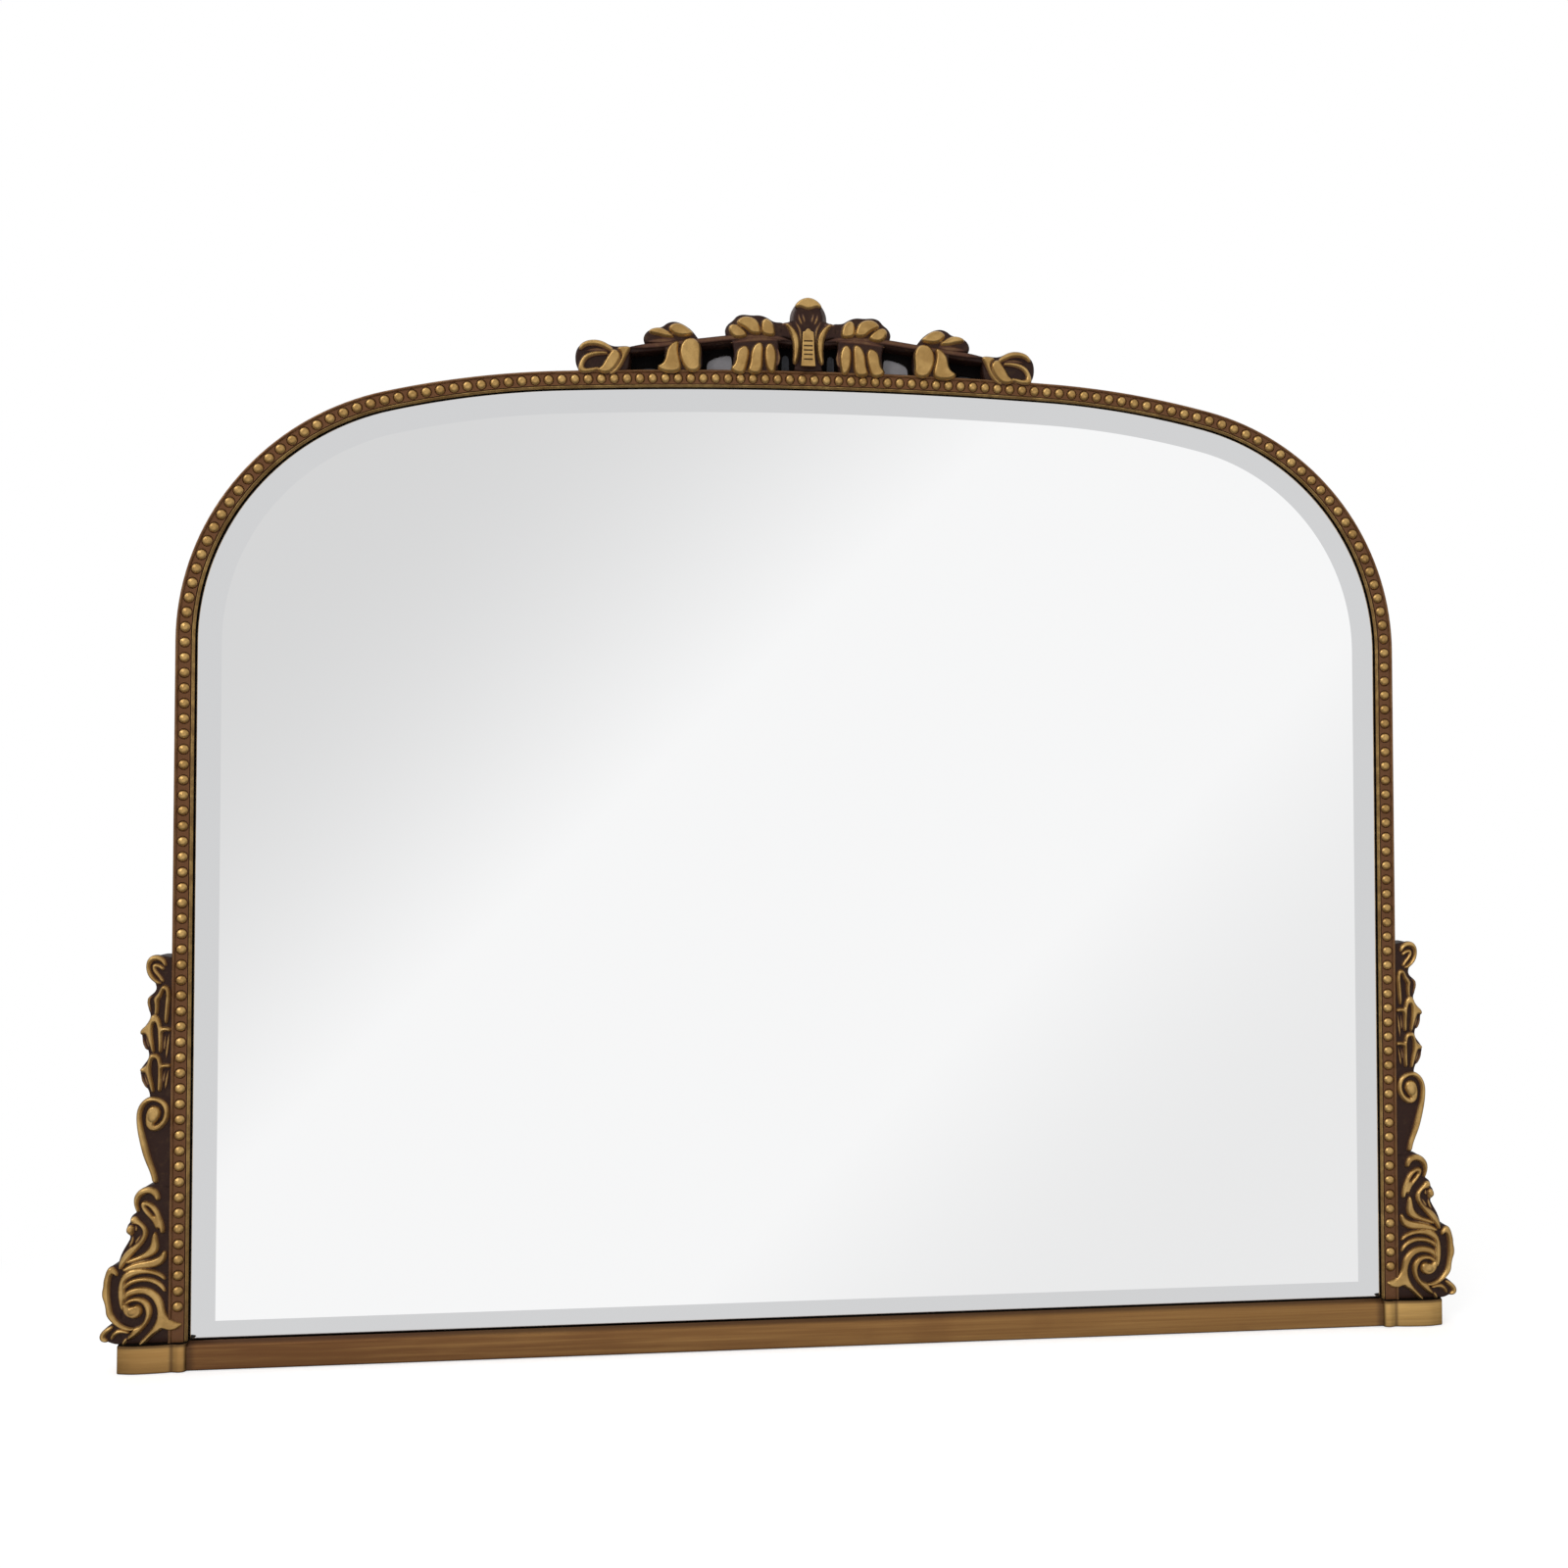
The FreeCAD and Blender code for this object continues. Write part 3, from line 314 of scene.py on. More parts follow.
class NodeBench:
    """Short ways to place and join shader nodes in one tree."""

    def __init__(self, tree: bpy.types.NodeTree) -> None:
        """Start on the node tree of a material, group or world."""
        self.tree = tree

    def put(
        self, kind: str, inputs: dict[int | str, object] | None = None, **values: object
    ) -> bpy.types.Node:
        """Place a node.

        Args:
            kind: the node's type, without the ShaderNode in front.
            inputs: what goes into its sockets: an output socket is linked, anything else is its value.
            values: the node's own settings.

        Returns:
            The node.
        """
        node = self.tree.nodes.new(kind if kind.startswith("Node") else "ShaderNode" + kind)
        for name, value in values.items():
            setattr(node, name, value)
        self.feed(node, inputs or {})
        return node

    def feed(self, node: bpy.types.Node, inputs: dict[int | str, object]) -> None:
        """Link outputs to a node's sockets, or set their values.

        Args:
            node: the node.
            inputs: what goes into its sockets, by name or number.
        """
        for key, value in inputs.items():
            socket = node.inputs[key]
            if isinstance(value, bpy.types.NodeSocket):
                self.tree.links.new(value, socket)
            elif socket.type == "RGBA" and len(value) == 3:
                socket.default_value = (*value, 1.0)
            else:
                socket.default_value = value

    def math(self, operation: str, *terms: object, clamp: bool = False) -> bpy.types.NodeSocket:
        """Result of a Math node, or of a row of them where there are more terms than two.

        Args:
            operation: Blender's name for it.
            terms: numbers and output sockets.
            clamp: True to keep the result between 0 and 1.

        Returns:
            The result.
        """
        result = terms[0]
        for term in terms[1:]:
            node = self.put("Math", {0: result, 1: term}, operation=operation, use_clamp=clamp)
            result = node.outputs[0]
        return result

    def ramp(
        self, value: object, low: float, high: float, start: float = 0.0, end: float = 1.0
    ) -> bpy.types.NodeSocket:
        """Smooth step of a value, from start where it is low to end where it is high."""
        ends = {"Value": value, "From Min": low, "From Max": high, "To Min": start, "To Max": end}
        return self.put("MapRange", ends, interpolation_type="SMOOTHSTEP").outputs["Result"]

    def mix(self, share: object, first: object, second: object) -> bpy.types.NodeSocket:
        """Colour mixed from two, with this share of the second."""
        return self.put("Mix", {0: share, 6: first, 7: second}, data_type="RGBA").outputs[2]

    def place(self) -> bpy.types.NodeSocket:
        """Place on the object."""
        return self.put("TexCoord").outputs["Object"]

    def axis(self, place: object, index: int) -> bpy.types.NodeSocket:
        """One of the three measures of a place: 0 for X, 1 for Y, 2 for Z."""
        return self.put("SeparateXYZ", {0: place}).outputs[index]

    def noise(self, place: object, grain: Grain) -> bpy.types.NodeSocket:
        """Value of a noise pattern at a place, from 0 to 1."""
        if grain.packed is not None:
            place = self.packed(place, grain.packed)
        inputs = {"Vector": place, "Scale": grain.scale, "Detail": grain.detail, "Roughness": grain.rough}
        return self.put("TexNoise", inputs).outputs[0]

    def packed(self, place: object, scale: Colour) -> bpy.types.NodeSocket:
        """Place with each axis scaled, for streaks."""
        return self.put("Mapping", {"Vector": place, "Scale": scale}).outputs[0]

    def bump(self, height: object, strength: float, depth: float) -> bpy.types.NodeSocket:
        """Normal from a height, with its depth in metres."""
        return self.put("Bump", {"Height": height, "Strength": strength, "Distance": depth}).outputs[0]


def new_group(
    name: str, inputs: dict[str, float | Colour], outputs: tuple[str, ...]
) -> tuple[NodeBench, bpy.types.NodeOutputs, bpy.types.Node]:
    """Empty node group with its sockets.

    Args:
        name: name of the group.
        inputs: start value of each input; three numbers are a colour.
        outputs: names of the outputs; the one called Color is a colour.

    Returns:
        A bench on the group's tree, what its inputs give, and its output node.
    """
    tree = bpy.data.node_groups.new(name, "ShaderNodeTree")
    for label, value in inputs.items():
        if isinstance(value, tuple):
            socket = tree.interface.new_socket(label, in_out="INPUT", socket_type="NodeSocketColor")
            socket.default_value = (*value, 1.0)
        else:
            socket = tree.interface.new_socket(label, in_out="INPUT", socket_type="NodeSocketFloat")
            socket.default_value = value
    for label in outputs:
        kind = "NodeSocketColor" if label == "Color" else "NodeSocketFloat"
        tree.interface.new_socket(label, in_out="OUTPUT", socket_type=kind)
    bench = NodeBench(tree)
    return bench, bench.put("NodeGroupInput").outputs, bench.put("NodeGroupOutput")


def make_relief_group() -> None:
    """Group that finds where the gold is left: high, facing the room, rubbed and a little broken up; and
    where it darkens, patina on the low ground with painted shade in creases and on walls turned from the
    room.
    """
    bench, given, out = new_group(
        "relief_wear_and_shade",
        {"Ground": -0.005, "Rise": 0.004, "Breakup": 0.25, "Low": 0.18, "High": 0.5, "Edge": 3.0},
        ("Gold", "Hollow"),
    )
    spot = bench.put("TexCoord")
    place = spot.outputs["Object"]
    height = bench.math("SUBTRACT", given["Ground"], bench.axis(place, 1))
    height = bench.math("DIVIDE", height, given["Rise"])
    facing = bench.math("MULTIPLY", bench.axis(spot.outputs["Normal"], 1), -1.0)
    edge = bench.math("SUBTRACT", bench.put("NewGeometry").outputs["Pointiness"], 0.5)
    edge = bench.math("MULTIPLY", edge, given["Edge"])
    grain = bench.math("SUBTRACT", bench.noise(place, Grain(420.0, 4.0, 0.6)), 0.5)
    lifted = bench.math("ADD", height, bench.math("MULTIPLY", grain, given["Breakup"]), edge)
    raised = bench.ramp(lifted, given["Low"], given["High"])
    gold = bench.math("MULTIPLY", raised, bench.ramp(facing, 0.05, 0.45))
    # Hollow: patina on the low ground, with painted shade in creases and on walls turned away from the room.
    low = bench.math("SUBTRACT", 1.0, bench.ramp(height, -0.05, given["Low"]))
    creased = bench.ramp(edge, -0.06, -0.36)
    turned_away = bench.ramp(facing, 0.35, 0.0)
    bench.feed(out, {"Gold": gold, "Hollow": bench.math("MAXIMUM", low, creased, turned_away)})


def make_gilding_group() -> None:
    """Group that turns a gold mask into the colours, gloss and fine bumps of a rubbed bronze-gold finish."""
    bench, given, out = new_group(
        "rubbed_gilding",
        {
            "Gold": 1.0, "Hollow": 0.0, "Bright": (0.5, 0.3, 0.1), "Deep": (0.3, 0.17, 0.05),
            "Brown": (0.06, 0.028, 0.016), "Dark": (0.015, 0.008, 0.006), "Gloss": 0.36,
        },
        ("Color", "Metal", "Roughness", "Height"),
    )
    place = bench.place()
    cloud = bench.noise(place, Grain(55.0, 4.0, 0.6))
    fleck = bench.noise(place, Grain(900.0, 3.0, 0.65))
    gold = bench.mix(bench.ramp(cloud, 0.33, 0.68), given["Deep"], given["Bright"])
    gold = bench.mix(bench.ramp(fleck, 0.60, 0.74, end=0.45), gold, given["Brown"])
    # The Hollow darkens the brown towards near black: patina with painted shade.
    base = bench.mix(given["Hollow"], given["Brown"], given["Dark"])
    bloom = bench.ramp(bench.noise(place, Grain(170.0, 4.0)), 0.50, 0.80, end=0.05)
    base = bench.mix(bloom, base, given["Deep"])
    rough = bench.math("MULTIPLY", bench.math("SUBTRACT", fleck, 0.5), 0.35)
    rough = bench.math("ADD", given["Gloss"], rough)
    dulled = bench.math("MULTIPLY", given["Hollow"], 0.12)
    bench.feed(out, {
        "Color": bench.mix(given["Gold"], base, gold),
        "Metal": bench.ramp(given["Gold"], 0.1, 0.8, end=0.85),
        "Roughness": bench.math("ADD", rough, dulled, clamp=True),
        "Height": bench.math("ADD", bench.math("MULTIPLY", fleck, 0.6), bench.math("MULTIPLY", cloud, 0.4)),
    })


def new_material(name: str) -> tuple[bpy.types.Material, NodeBench, bpy.types.Node]:
    """Material with only its Principled shader and output, with a bench on its tree and that shader."""
    material = bpy.data.materials.new(name)
    material.use_nodes = True
    bench = NodeBench(material.node_tree)
    material.node_tree.nodes.clear()
    shader = bench.put("BsdfPrincipled")
    bench.put("OutputMaterial", {"Surface": shader.outputs[0]})
    return material, bench, shader


# Finishes of the mirror.


# Painted shade: the dark brown laid into the grooves, beside the blocks and along the rail's edges.
SHADE_BROWN = (0.045, 0.020, 0.010)


@dataclass(frozen=True)
class GiltTones:
    """Colours of the rubbed gilding."""

    bright: Colour = (0.60, 0.38, 0.138)
    deep: Colour = (0.40, 0.235, 0.078)
    brown: Colour = (0.086, 0.036, 0.022)
    dark: Colour = (0.024, 0.010, 0.007)


def dress_gilding(
    bench: NodeBench, shader: bpy.types.Node, masks: dict[str, object], tones: GiltTones, gloss: float
) -> None:
    """Put the gilding group before a shader.

    Args:
        bench: bench on the material's tree.
        shader: its Principled shader.
        masks: what goes into Gold and Hollow.
        tones: colours of the gilding.
        gloss: roughness of the gold.
    """
    gilding = bench.put("Group", node_tree=bpy.data.node_groups["rubbed_gilding"])
    bench.feed(gilding, {
        **masks, "Gloss": gloss,
        "Bright": tones.bright, "Deep": tones.deep, "Brown": tones.brown, "Dark": tones.dark,
    })
    bench.feed(shader, {
        "Base Color": gilding.outputs["Color"],
        "Metallic": gilding.outputs["Metal"],
        "Specular IOR Level": 0.16,
        "Roughness": gilding.outputs["Roughness"],
        "Normal": bench.bump(gilding.outputs["Height"], 0.35, 0.0004),
    })


@dataclass(frozen=True)
class CarvedGilt:
    """Rubbed gilding on carving: gold on the ridges, dark brown in the hollows, partly patina and partly
    painted shade.

    Ground and rise are Y of the carving's ground and how far its ridges stand up, in millimetres. The gold
    begins at the share low of that rise and is full at high; breakup roughens its border, and edge keeps it
    on sharp ridges.
    """

    name: str
    ground: float
    rise: float
    low: float
    high: float
    tones: GiltTones = GiltTones()
    breakup: float = 0.16
    gloss: float = 0.34
    edge: float = 3.0

    def make(self) -> bpy.types.Material:
        """Build the material."""
        material, bench, shader = new_material(self.name)
        relief = bench.put("Group", node_tree=bpy.data.node_groups["relief_wear_and_shade"])
        bench.feed(relief, {
            "Ground": self.ground * MM, "Rise": self.rise * MM, "Breakup": self.breakup,
            "Low": self.low, "High": self.high, "Edge": self.edge,
        })
        masks = {label: relief.outputs[label] for label in ("Gold", "Hollow")}
        dress_gilding(bench, shader, masks, self.tones, self.gloss)
        return material


@dataclass(frozen=True)
class PlainGilt:
    """Gilding on a plain moulding: one share of gold all over, worn through here and there."""

    name: str
    gold: float
    wear: float
    gloss: float = 0.36
    tones: GiltTones = GiltTones()

    def make(self) -> bpy.types.Material:
        """Build the material."""
        material, bench, shader = new_material(self.name)
        worn = bench.noise(bench.place(), Grain(140.0, 5.0, 0.62))
        worn = bench.ramp(worn, 0.40, 0.66, start=-self.wear, end=self.wear)
        gold = bench.math("ADD", worn, self.gold, clamp=True)
        masks = {"Gold": gold, "Hollow": bench.math("SUBTRACT", 0.45, gold, clamp=True)}
        dress_gilding(bench, shader, masks, self.tones, self.gloss)
        return material


@dataclass(frozen=True)
class BrushedGilt:
    """Brushed antique gold on the rail and blocks, with brown streaks along the brush.

    It darkens from the right to the left between two distances from the middle, in metres: a painted
    reflection and shade, the left end as if it mirrored a darker room. Each painted shade mark, in a groove
    or beside a block, is its distance from the middle and its half width; the lower and upper edges have
    painted shade between two heights.
    """

    name: str
    light: Colour
    middle: Colour
    dark: Colour
    wax_marks: tuple[Span, ...]
    fade: Span = (-0.60, 0.60)
    foot_wax: Span = (0.0018, 0.0004)
    top_wax: Span = (0.0204, 0.0232)
    roughness: float = 0.36

    def make(self) -> bpy.types.Material:
        """Build the material."""
        material, bench, shader = new_material(self.name)
        place = bench.place()
        brushed = bench.noise(place, Grain(4.0, 6.0, 0.7, (1.2, 60.0, 160.0)))
        streak = bench.noise(place, Grain(6.0, 4.0, 0.55, (1.0, 20.0, 30.0)))
        cloud = bench.noise(place, Grain(14.0))
        across = bench.axis(place, 0)
        # Painted reflection and shade: darker towards the left end.
        tone = bench.mix(bench.ramp(across, *self.fade), self.dark, self.middle)
        tone = bench.mix(bench.ramp(streak, 0.38, 0.70, end=0.55), tone, self.light)
        tone = bench.mix(bench.ramp(cloud, 0.50, 0.75, end=0.35), tone, self.dark)
        tone = bench.mix(bench.ramp(brushed, 0.35, 0.65, end=0.35), tone, self.dark)
        aside = bench.math("ABSOLUTE", across, 0.0)
        # Painted shade in the grooves and beside the blocks.
        for middle, half in self.wax_marks:
            away = bench.math("ABSOLUTE", bench.math("SUBTRACT", aside, middle), 0.0)
            tone = bench.mix(bench.ramp(away, half, 0.0, end=0.62), tone, SHADE_BROWN)
        up = bench.axis(place, 2)
        # Painted shade along the lower and upper edges.
        tone = bench.mix(bench.ramp(up, *self.foot_wax, end=0.8), tone, SHADE_BROWN)
        tone = bench.mix(bench.ramp(up, *self.top_wax, end=0.75), tone, SHADE_BROWN)
        bench.feed(shader, {
            "Base Color": tone,
            "Metallic": 0.75,
            "Roughness": bench.ramp(brushed, 0.2, 0.8, self.roughness - 0.05, self.roughness + 0.09),
            "Normal": bench.bump(brushed, 0.25, 0.0003),
        })
        return material


@dataclass(frozen=True)
class Silvering:
    """Silvered glass."""

    name: str

    def make(self) -> bpy.types.Material:
        """Build the material."""
        material, bench, shader = new_material(self.name)
        haze = bench.noise(bench.place(), Grain(3.0))
        bench.feed(shader, {
            "Base Color": bench.mix(haze, (0.922, 0.924, 0.928), (0.928, 0.930, 0.933)),
            "Metallic": 1.0,
            "Roughness": bench.ramp(haze, 0.2, 0.8, 0.008, 0.016),
        })
        return material


@dataclass(frozen=True)
class Plain:
    """Simple solid stuff with a little variation: paint, metal, rubber, foam."""

    name: str
    light: Colour
    dark: Colour
    roughness: float
    scale: float
    metallic: float = 0.0
    depth: float = 0.0002
    shine: float = 0.5

    def make(self) -> bpy.types.Material:
        """Build the material."""
        material, bench, shader = new_material(self.name)
        place = bench.place()
        cloud = bench.noise(place, Grain(self.scale, 5.0, 0.6))
        fine = bench.noise(place, Grain(self.scale * 9.0, 3.0, 0.6))
        bench.feed(shader, {
            "Base Color": bench.mix(bench.ramp(cloud, 0.3, 0.7), self.dark, self.light),
            "Metallic": self.metallic,
            "Specular IOR Level": self.shine,
            "Roughness": bench.ramp(fine, 0.25, 0.75, self.roughness - 0.07, self.roughness + 0.09),
            "Normal": bench.bump(fine, 0.4, self.depth),
        })
        return material


@dataclass(frozen=True)
class Timber:
    """Bare wood; its grain runs along the axis that is packed least."""

    name: str
    light: Colour
    dark: Colour
    packed: Colour

    def make(self) -> bpy.types.Material:
        """Build the material."""
        material, bench, shader = new_material(self.name)
        place = bench.place()
        drift = bench.noise(place, Grain(5.0, 5.0, 0.6, self.packed))
        pores = bench.noise(place, Grain(9.0, 4.0, 0.7, tuple(9.0 * share for share in self.packed)))
        waves = {"Vector": bench.packed(place, self.packed), "Scale": 1.6, "Distortion": 7.0, "Detail": 3.0}
        rings = bench.put("TexWave", waves).outputs["Fac"]
        tone = bench.mix(bench.ramp(rings, 0.2, 0.9), self.light, self.dark)
        tone = bench.mix(bench.ramp(drift, 0.3, 0.7, end=0.6), tone, self.light)
        pore_tone = tuple(0.5 * share for share in self.dark)
        bench.feed(shader, {
            "Base Color": bench.mix(bench.ramp(pores, 0.58, 0.72, end=0.5), tone, pore_tone),
            "Roughness": bench.ramp(pores, 0.3, 0.7, 0.55, 0.72),
            "Normal": bench.bump(pores, 0.3, 0.0003),
        })
        return material


Finish = CarvedGilt | PlainGilt | BrushedGilt | Silvering | Plain | Timber

RIM_TONES = GiltTones((0.36, 0.20, 0.090), (0.22, 0.108, 0.048), (0.135, 0.058, 0.025), (0.09, 0.038, 0.018))
BAND_TONES = GiltTones(deep=(0.21, 0.100, 0.040), brown=(0.145, 0.061, 0.024), dark=(0.095, 0.038, 0.016))
BEAD_TONES = GiltTones(brown=(0.150, 0.063, 0.024), dark=(0.028, 0.012, 0.007))

ALL_FINISHES: tuple[Finish, ...] = (
    PlainGilt("moulding_rim", gold=0.62, wear=0.28, tones=RIM_TONES),
    PlainGilt("moulding_band", gold=0.0, wear=0.25, gloss=0.42, tones=BAND_TONES),
    PlainGilt("moulding_fillet", gold=0.85, wear=0.3),
    # Black of the sight edge, also used as painted shade on the rail's top and painted shadow on the blocks'
    # tops.
    Plain("sight_black", (0.007, 0.005, 0.004), (0.004, 0.003, 0.002), 0.6, 90.0, shine=0.03),
    CarvedGilt("bead_gilding", -5.3, 3.8, low=0.38, high=0.50, tones=BEAD_TONES, breakup=0.04, edge=0.0),
    CarvedGilt("scroll_gilding", -5.2, 3.8, low=0.22, high=0.66),
    CarvedGilt("crest_gilding", -7.0, 4.4, low=0.20, high=0.60),
    CarvedGilt("tongue_gilding", -12.3, 1.0, low=0.1, high=0.8, breakup=0.1),
    Plain("dome_brown", (0.090, 0.060, 0.050), (0.045, 0.026, 0.021), 0.36, 70.0),
    # Painted shadow and painted shade seen through the crest's openings.
    Plain("shade_sheet_black", (0.006, 0.005, 0.005), (0.004, 0.003, 0.003), 0.8, 80.0, shine=0.05),
    Plain("shade_sheet_grey", (0.42, 0.41, 0.43), (0.38, 0.37, 0.39), 0.7, 80.0, shine=0.2),
    Plain("web_shade", (0.13, 0.135, 0.15), (0.11, 0.115, 0.13), 0.7, 80.0, shine=0.2),
    # The rail and blocks carry painted shade in grooves, beside the blocks and along their edges, and a
    # painted reflection that darkens the left.
    BrushedGilt(
        "rail_gilding", (0.38, 0.205, 0.066), (0.32, 0.165, 0.050), (0.160, 0.066, 0.021), ((0.5365, 0.0075),)
    ),
    BrushedGilt(
        "block_gilding", (0.66, 0.42, 0.145), (0.54, 0.32, 0.102), (0.37, 0.195, 0.058),
        ((0.5380, 0.0018), (0.5496, 0.0030)), fade=(-1.2, 0.8),
    ),
    Silvering("silvered_glass"),
    Plain("backing_paint", (0.30, 0.29, 0.27), (0.22, 0.21, 0.20), 0.6, 30.0),
    Plain("packing_foam", (0.80, 0.80, 0.76), (0.70, 0.70, 0.66), 0.85, 120.0),
    Timber("birch_plywood", (0.52, 0.36, 0.19), (0.44, 0.29, 0.145), (4.0, 4.0, 0.5)),
    Plain("zinc_plate", (0.62, 0.63, 0.62), (0.46, 0.47, 0.47), 0.34, 45.0, metallic=1.0),
    Plain("brass_plating", (0.70, 0.50, 0.20), (0.52, 0.35, 0.12), 0.28, 50.0, metallic=1.0),
    Timber("beech_dowel", (0.62, 0.42, 0.24), (0.48, 0.29, 0.15), (14.0, 14.0, 1.0)),
    Plain("black_rubber", (0.020, 0.020, 0.020), (0.010, 0.010, 0.010), 0.7, 150.0),
    Plain("setting_felt", (0.055, 0.045, 0.040), (0.035, 0.028, 0.024), 0.9, 400.0, depth=0.0005),
)


@dataclass
class Finishes:
    """The materials of all finishes, by name."""

    made: dict[str, bpy.types.Material] = field(default_factory=dict)

    def make(self) -> None:
        """Build the shared node groups and every material."""
        make_relief_group()
        make_gilding_group()
        for finish in ALL_FINISHES:
            self.made[finish.name] = finish.make()

    def __getitem__(self, name: str) -> bpy.types.Material:
        """Material with this name."""
        return self.made[name]


# Shape of the frame, which the moulding, the beads and the glass follow.


@dataclass(frozen=True)
class Arc:
    """One arc of the arch, seen from the front; turns are counted up from the left, in radians."""

    x: float
    z: float
    radius: float
    start: float
    end: float

    def at(self, turn: float, inset: float) -> tuple[float, float]:
        """X and Z of the point at this turn, this far inside the arc."""
        reach = self.radius - inset
        return self.x - reach * math.cos(turn), self.z + reach * math.sin(turn)


@dataclass(frozen=True)
class ArchShape:
    """Outer line of the frame, in millimetres and degrees."""

    half_width: float = 555.0
    spring: float = 634.5
    shoulder: float = 232.0
    shoulder_turn: float = 76.2
    haunch: float = 820.0
    haunch_turn: float = 10.9

    def arcs(self) -> tuple[Arc, ...]:
        """Arcs from the left spring point to the right one."""
        turn = math.radians(self.shoulder_turn)
        full = turn + math.radians(self.haunch_turn)
        shoulder_x = self.half_width - self.shoulder
        haunch_x = shoulder_x - (self.haunch - self.shoulder) * math.cos(turn)
        haunch_z = self.spring - (self.haunch - self.shoulder) * math.sin(turn)
        crown = self.haunch + haunch_x / math.cos(full)
        crown_z = haunch_z - (crown - self.haunch) * math.sin(full)
        return (
            Arc(-shoulder_x, self.spring, self.shoulder, 0.0, turn),
            Arc(-haunch_x, haunch_z, self.haunch, turn, full),
            Arc(0.0, crown_z, crown, full, math.pi - full),
            Arc(haunch_x, haunch_z, self.haunch, math.pi - full, math.pi - turn),
            Arc(shoulder_x, self.spring, self.shoulder, math.pi - turn, math.pi),
        )

    def length(self, inset: float) -> float:
        """Length of the arch this far inside its outer line."""
        return sum((arc.radius - inset) * (arc.end - arc.start) for arc in self.arcs())

    def point(self, along: float, guide: float, inset: float) -> tuple[float, float]:
        """Point on the arch.

        Args:
            along: distance from the left spring point, on the guide line.
            guide: inset of the guide line.
            inset: inset of the point.

        Returns:
            Its X and Z in millimetres.
        """
        left = along
        for arc in self.arcs():
            run = (arc.radius - guide) * (arc.end - arc.start)
            if left <= run or arc.end >= math.pi:
                break
            left -= run
        return arc.at(arc.start + left / (arc.radius - guide), inset)

    def inset_of(self, x: float, z: float) -> float:
        """How far inside the outer line a point of the arch lies, from its X and Z."""
        slack = 1e-5
        for arc in self.arcs():
            if math.atan2(z - arc.z, arc.x - x) <= arc.end + slack:
                break
        return arc.radius - math.hypot(x - arc.x, z - arc.z)

    def outline(self, inset: float, bottom: float, step: float) -> list[tuple[float, float]]:
        """Closed line of the frame this far inside its outer line, with straight sides and foot.

        Args:
            inset: inset in millimetres.
            bottom: height of the foot.
            step: longest stretch between points on the arch.

        Returns:
            X and Z of its points, clockwise from the lower left.
        """
        points = [(-self.half_width + inset, bottom)]
        for arc in self.arcs():
            turn = arc.end - arc.start
            count = max(2, math.ceil((arc.radius - inset) * turn / step))
            points += [arc.at(arc.start + turn * index / count, inset) for index in range(count)]
        return [*points, (self.half_width - inset, self.spring), (self.half_width - inset, bottom)]


ARCH = ArchShape()


@dataclass
class Moulding:
    """Beaded moulding of the two stiles and the arch, in millimetres: inset from its outer face, and Y."""

    section: Section = (
        (0.0, 9.0), (0.0, -4.2), (0.25, -5.8), (0.8, -7.1), (1.5, -7.9), (2.1, -8.1), (2.7, -7.7),
        (3.3, -6.7), (3.33, -5.0), (13.9, -5.0), (13.95, -5.4), (14.15, -5.75), (14.55, -5.75), (15.0, -4.95),
        (15.4, -4.1), (15.75, -3.35), (14.6, -1.5), (10.5, -1.5), (10.5, 9.0),
    )
    foot: float = 24.0
    rim_edge: float = 3.3
    fillet_edge: float = 13.91
    sight_depth: float = -3.3
    rebate_depth: float = -1.6
    arc_step: float = 9.0
    fewest_steps: int = 6
    sharp: float = 50.0

    def blank(self, name: str, z: float) -> bpy.types.Object:
        """Flat face of the left stile's section at this height."""
        return outline_face((Vector((-ARCH.half_width + inset, y, z)) for inset, y in self.section), name)

    def zone(self, inset: float, y: float) -> Zone:
        """Finish zone of a face, by the inset and Y of its middle."""
        if inset < self.rim_edge:
            return Zone.RIM
        if inset < self.fillet_edge and y < self.rebate_depth:
            return Zone.BAND
        # The sight zone is black: partly the sight edge's black paint, partly painted shade in the rebate.
        return Zone.FILLET if y < self.sight_depth else Zone.SIGHT

    def finish(self, piece: bpy.types.Object, on_arch: bool) -> None:
        """Give each face of a piece its zone, and smooth it.

        Args:
            piece: a stile or the arch.
            on_arch: True for the arch.
        """
        for face in piece.data.polygons:
            x, y, z = face.center / MM
            inset = ARCH.inset_of(x, z) if on_arch else ARCH.half_width - abs(x)
            face.material_index = self.zone(inset, y).value
        smooth(piece, self.sharp)

    def make_stile(self) -> bpy.types.Object:
        """Left stile."""
        stile = extrude(self.blank("stile_left_moulding", self.foot), 0.0, 0.0, ARCH.spring - self.foot)
        self.finish(stile, on_arch=False)
        return stile

    def make_arch(self) -> bpy.types.Object:
        """Arch, spun round the centre of each of its arcs in turn."""
        arch = self.blank("arch_beaded_moulding", ARCH.spring)
        open_up(arch)
        for arc in ARCH.arcs():
            turn = arc.end - arc.start
            steps = max(self.fewest_steps, math.ceil(arc.radius * turn / self.arc_step))
            centre = (arc.x * MM, 0.0, arc.z * MM)
            bpy.ops.mesh.spin(steps=steps, angle=turn, center=centre, axis=(0.0, -1.0, 0.0))
        close_up()
        seal(arch)
        self.finish(arch, on_arch=True)
        return arch

    def build(self, finishes: Finishes) -> None:
        """Make the stiles and the arch, and dress them."""
        names = ("moulding_rim", "moulding_band", "moulding_fillet", "sight_black")
        zones = [finishes[name] for name in names]
        fit_out_pair(self.make_stile(), Side.LEFT, "stile_{}_moulding", "stile_{}", zones)
        fit_out(self.make_arch(), "arch_moulding", zones)


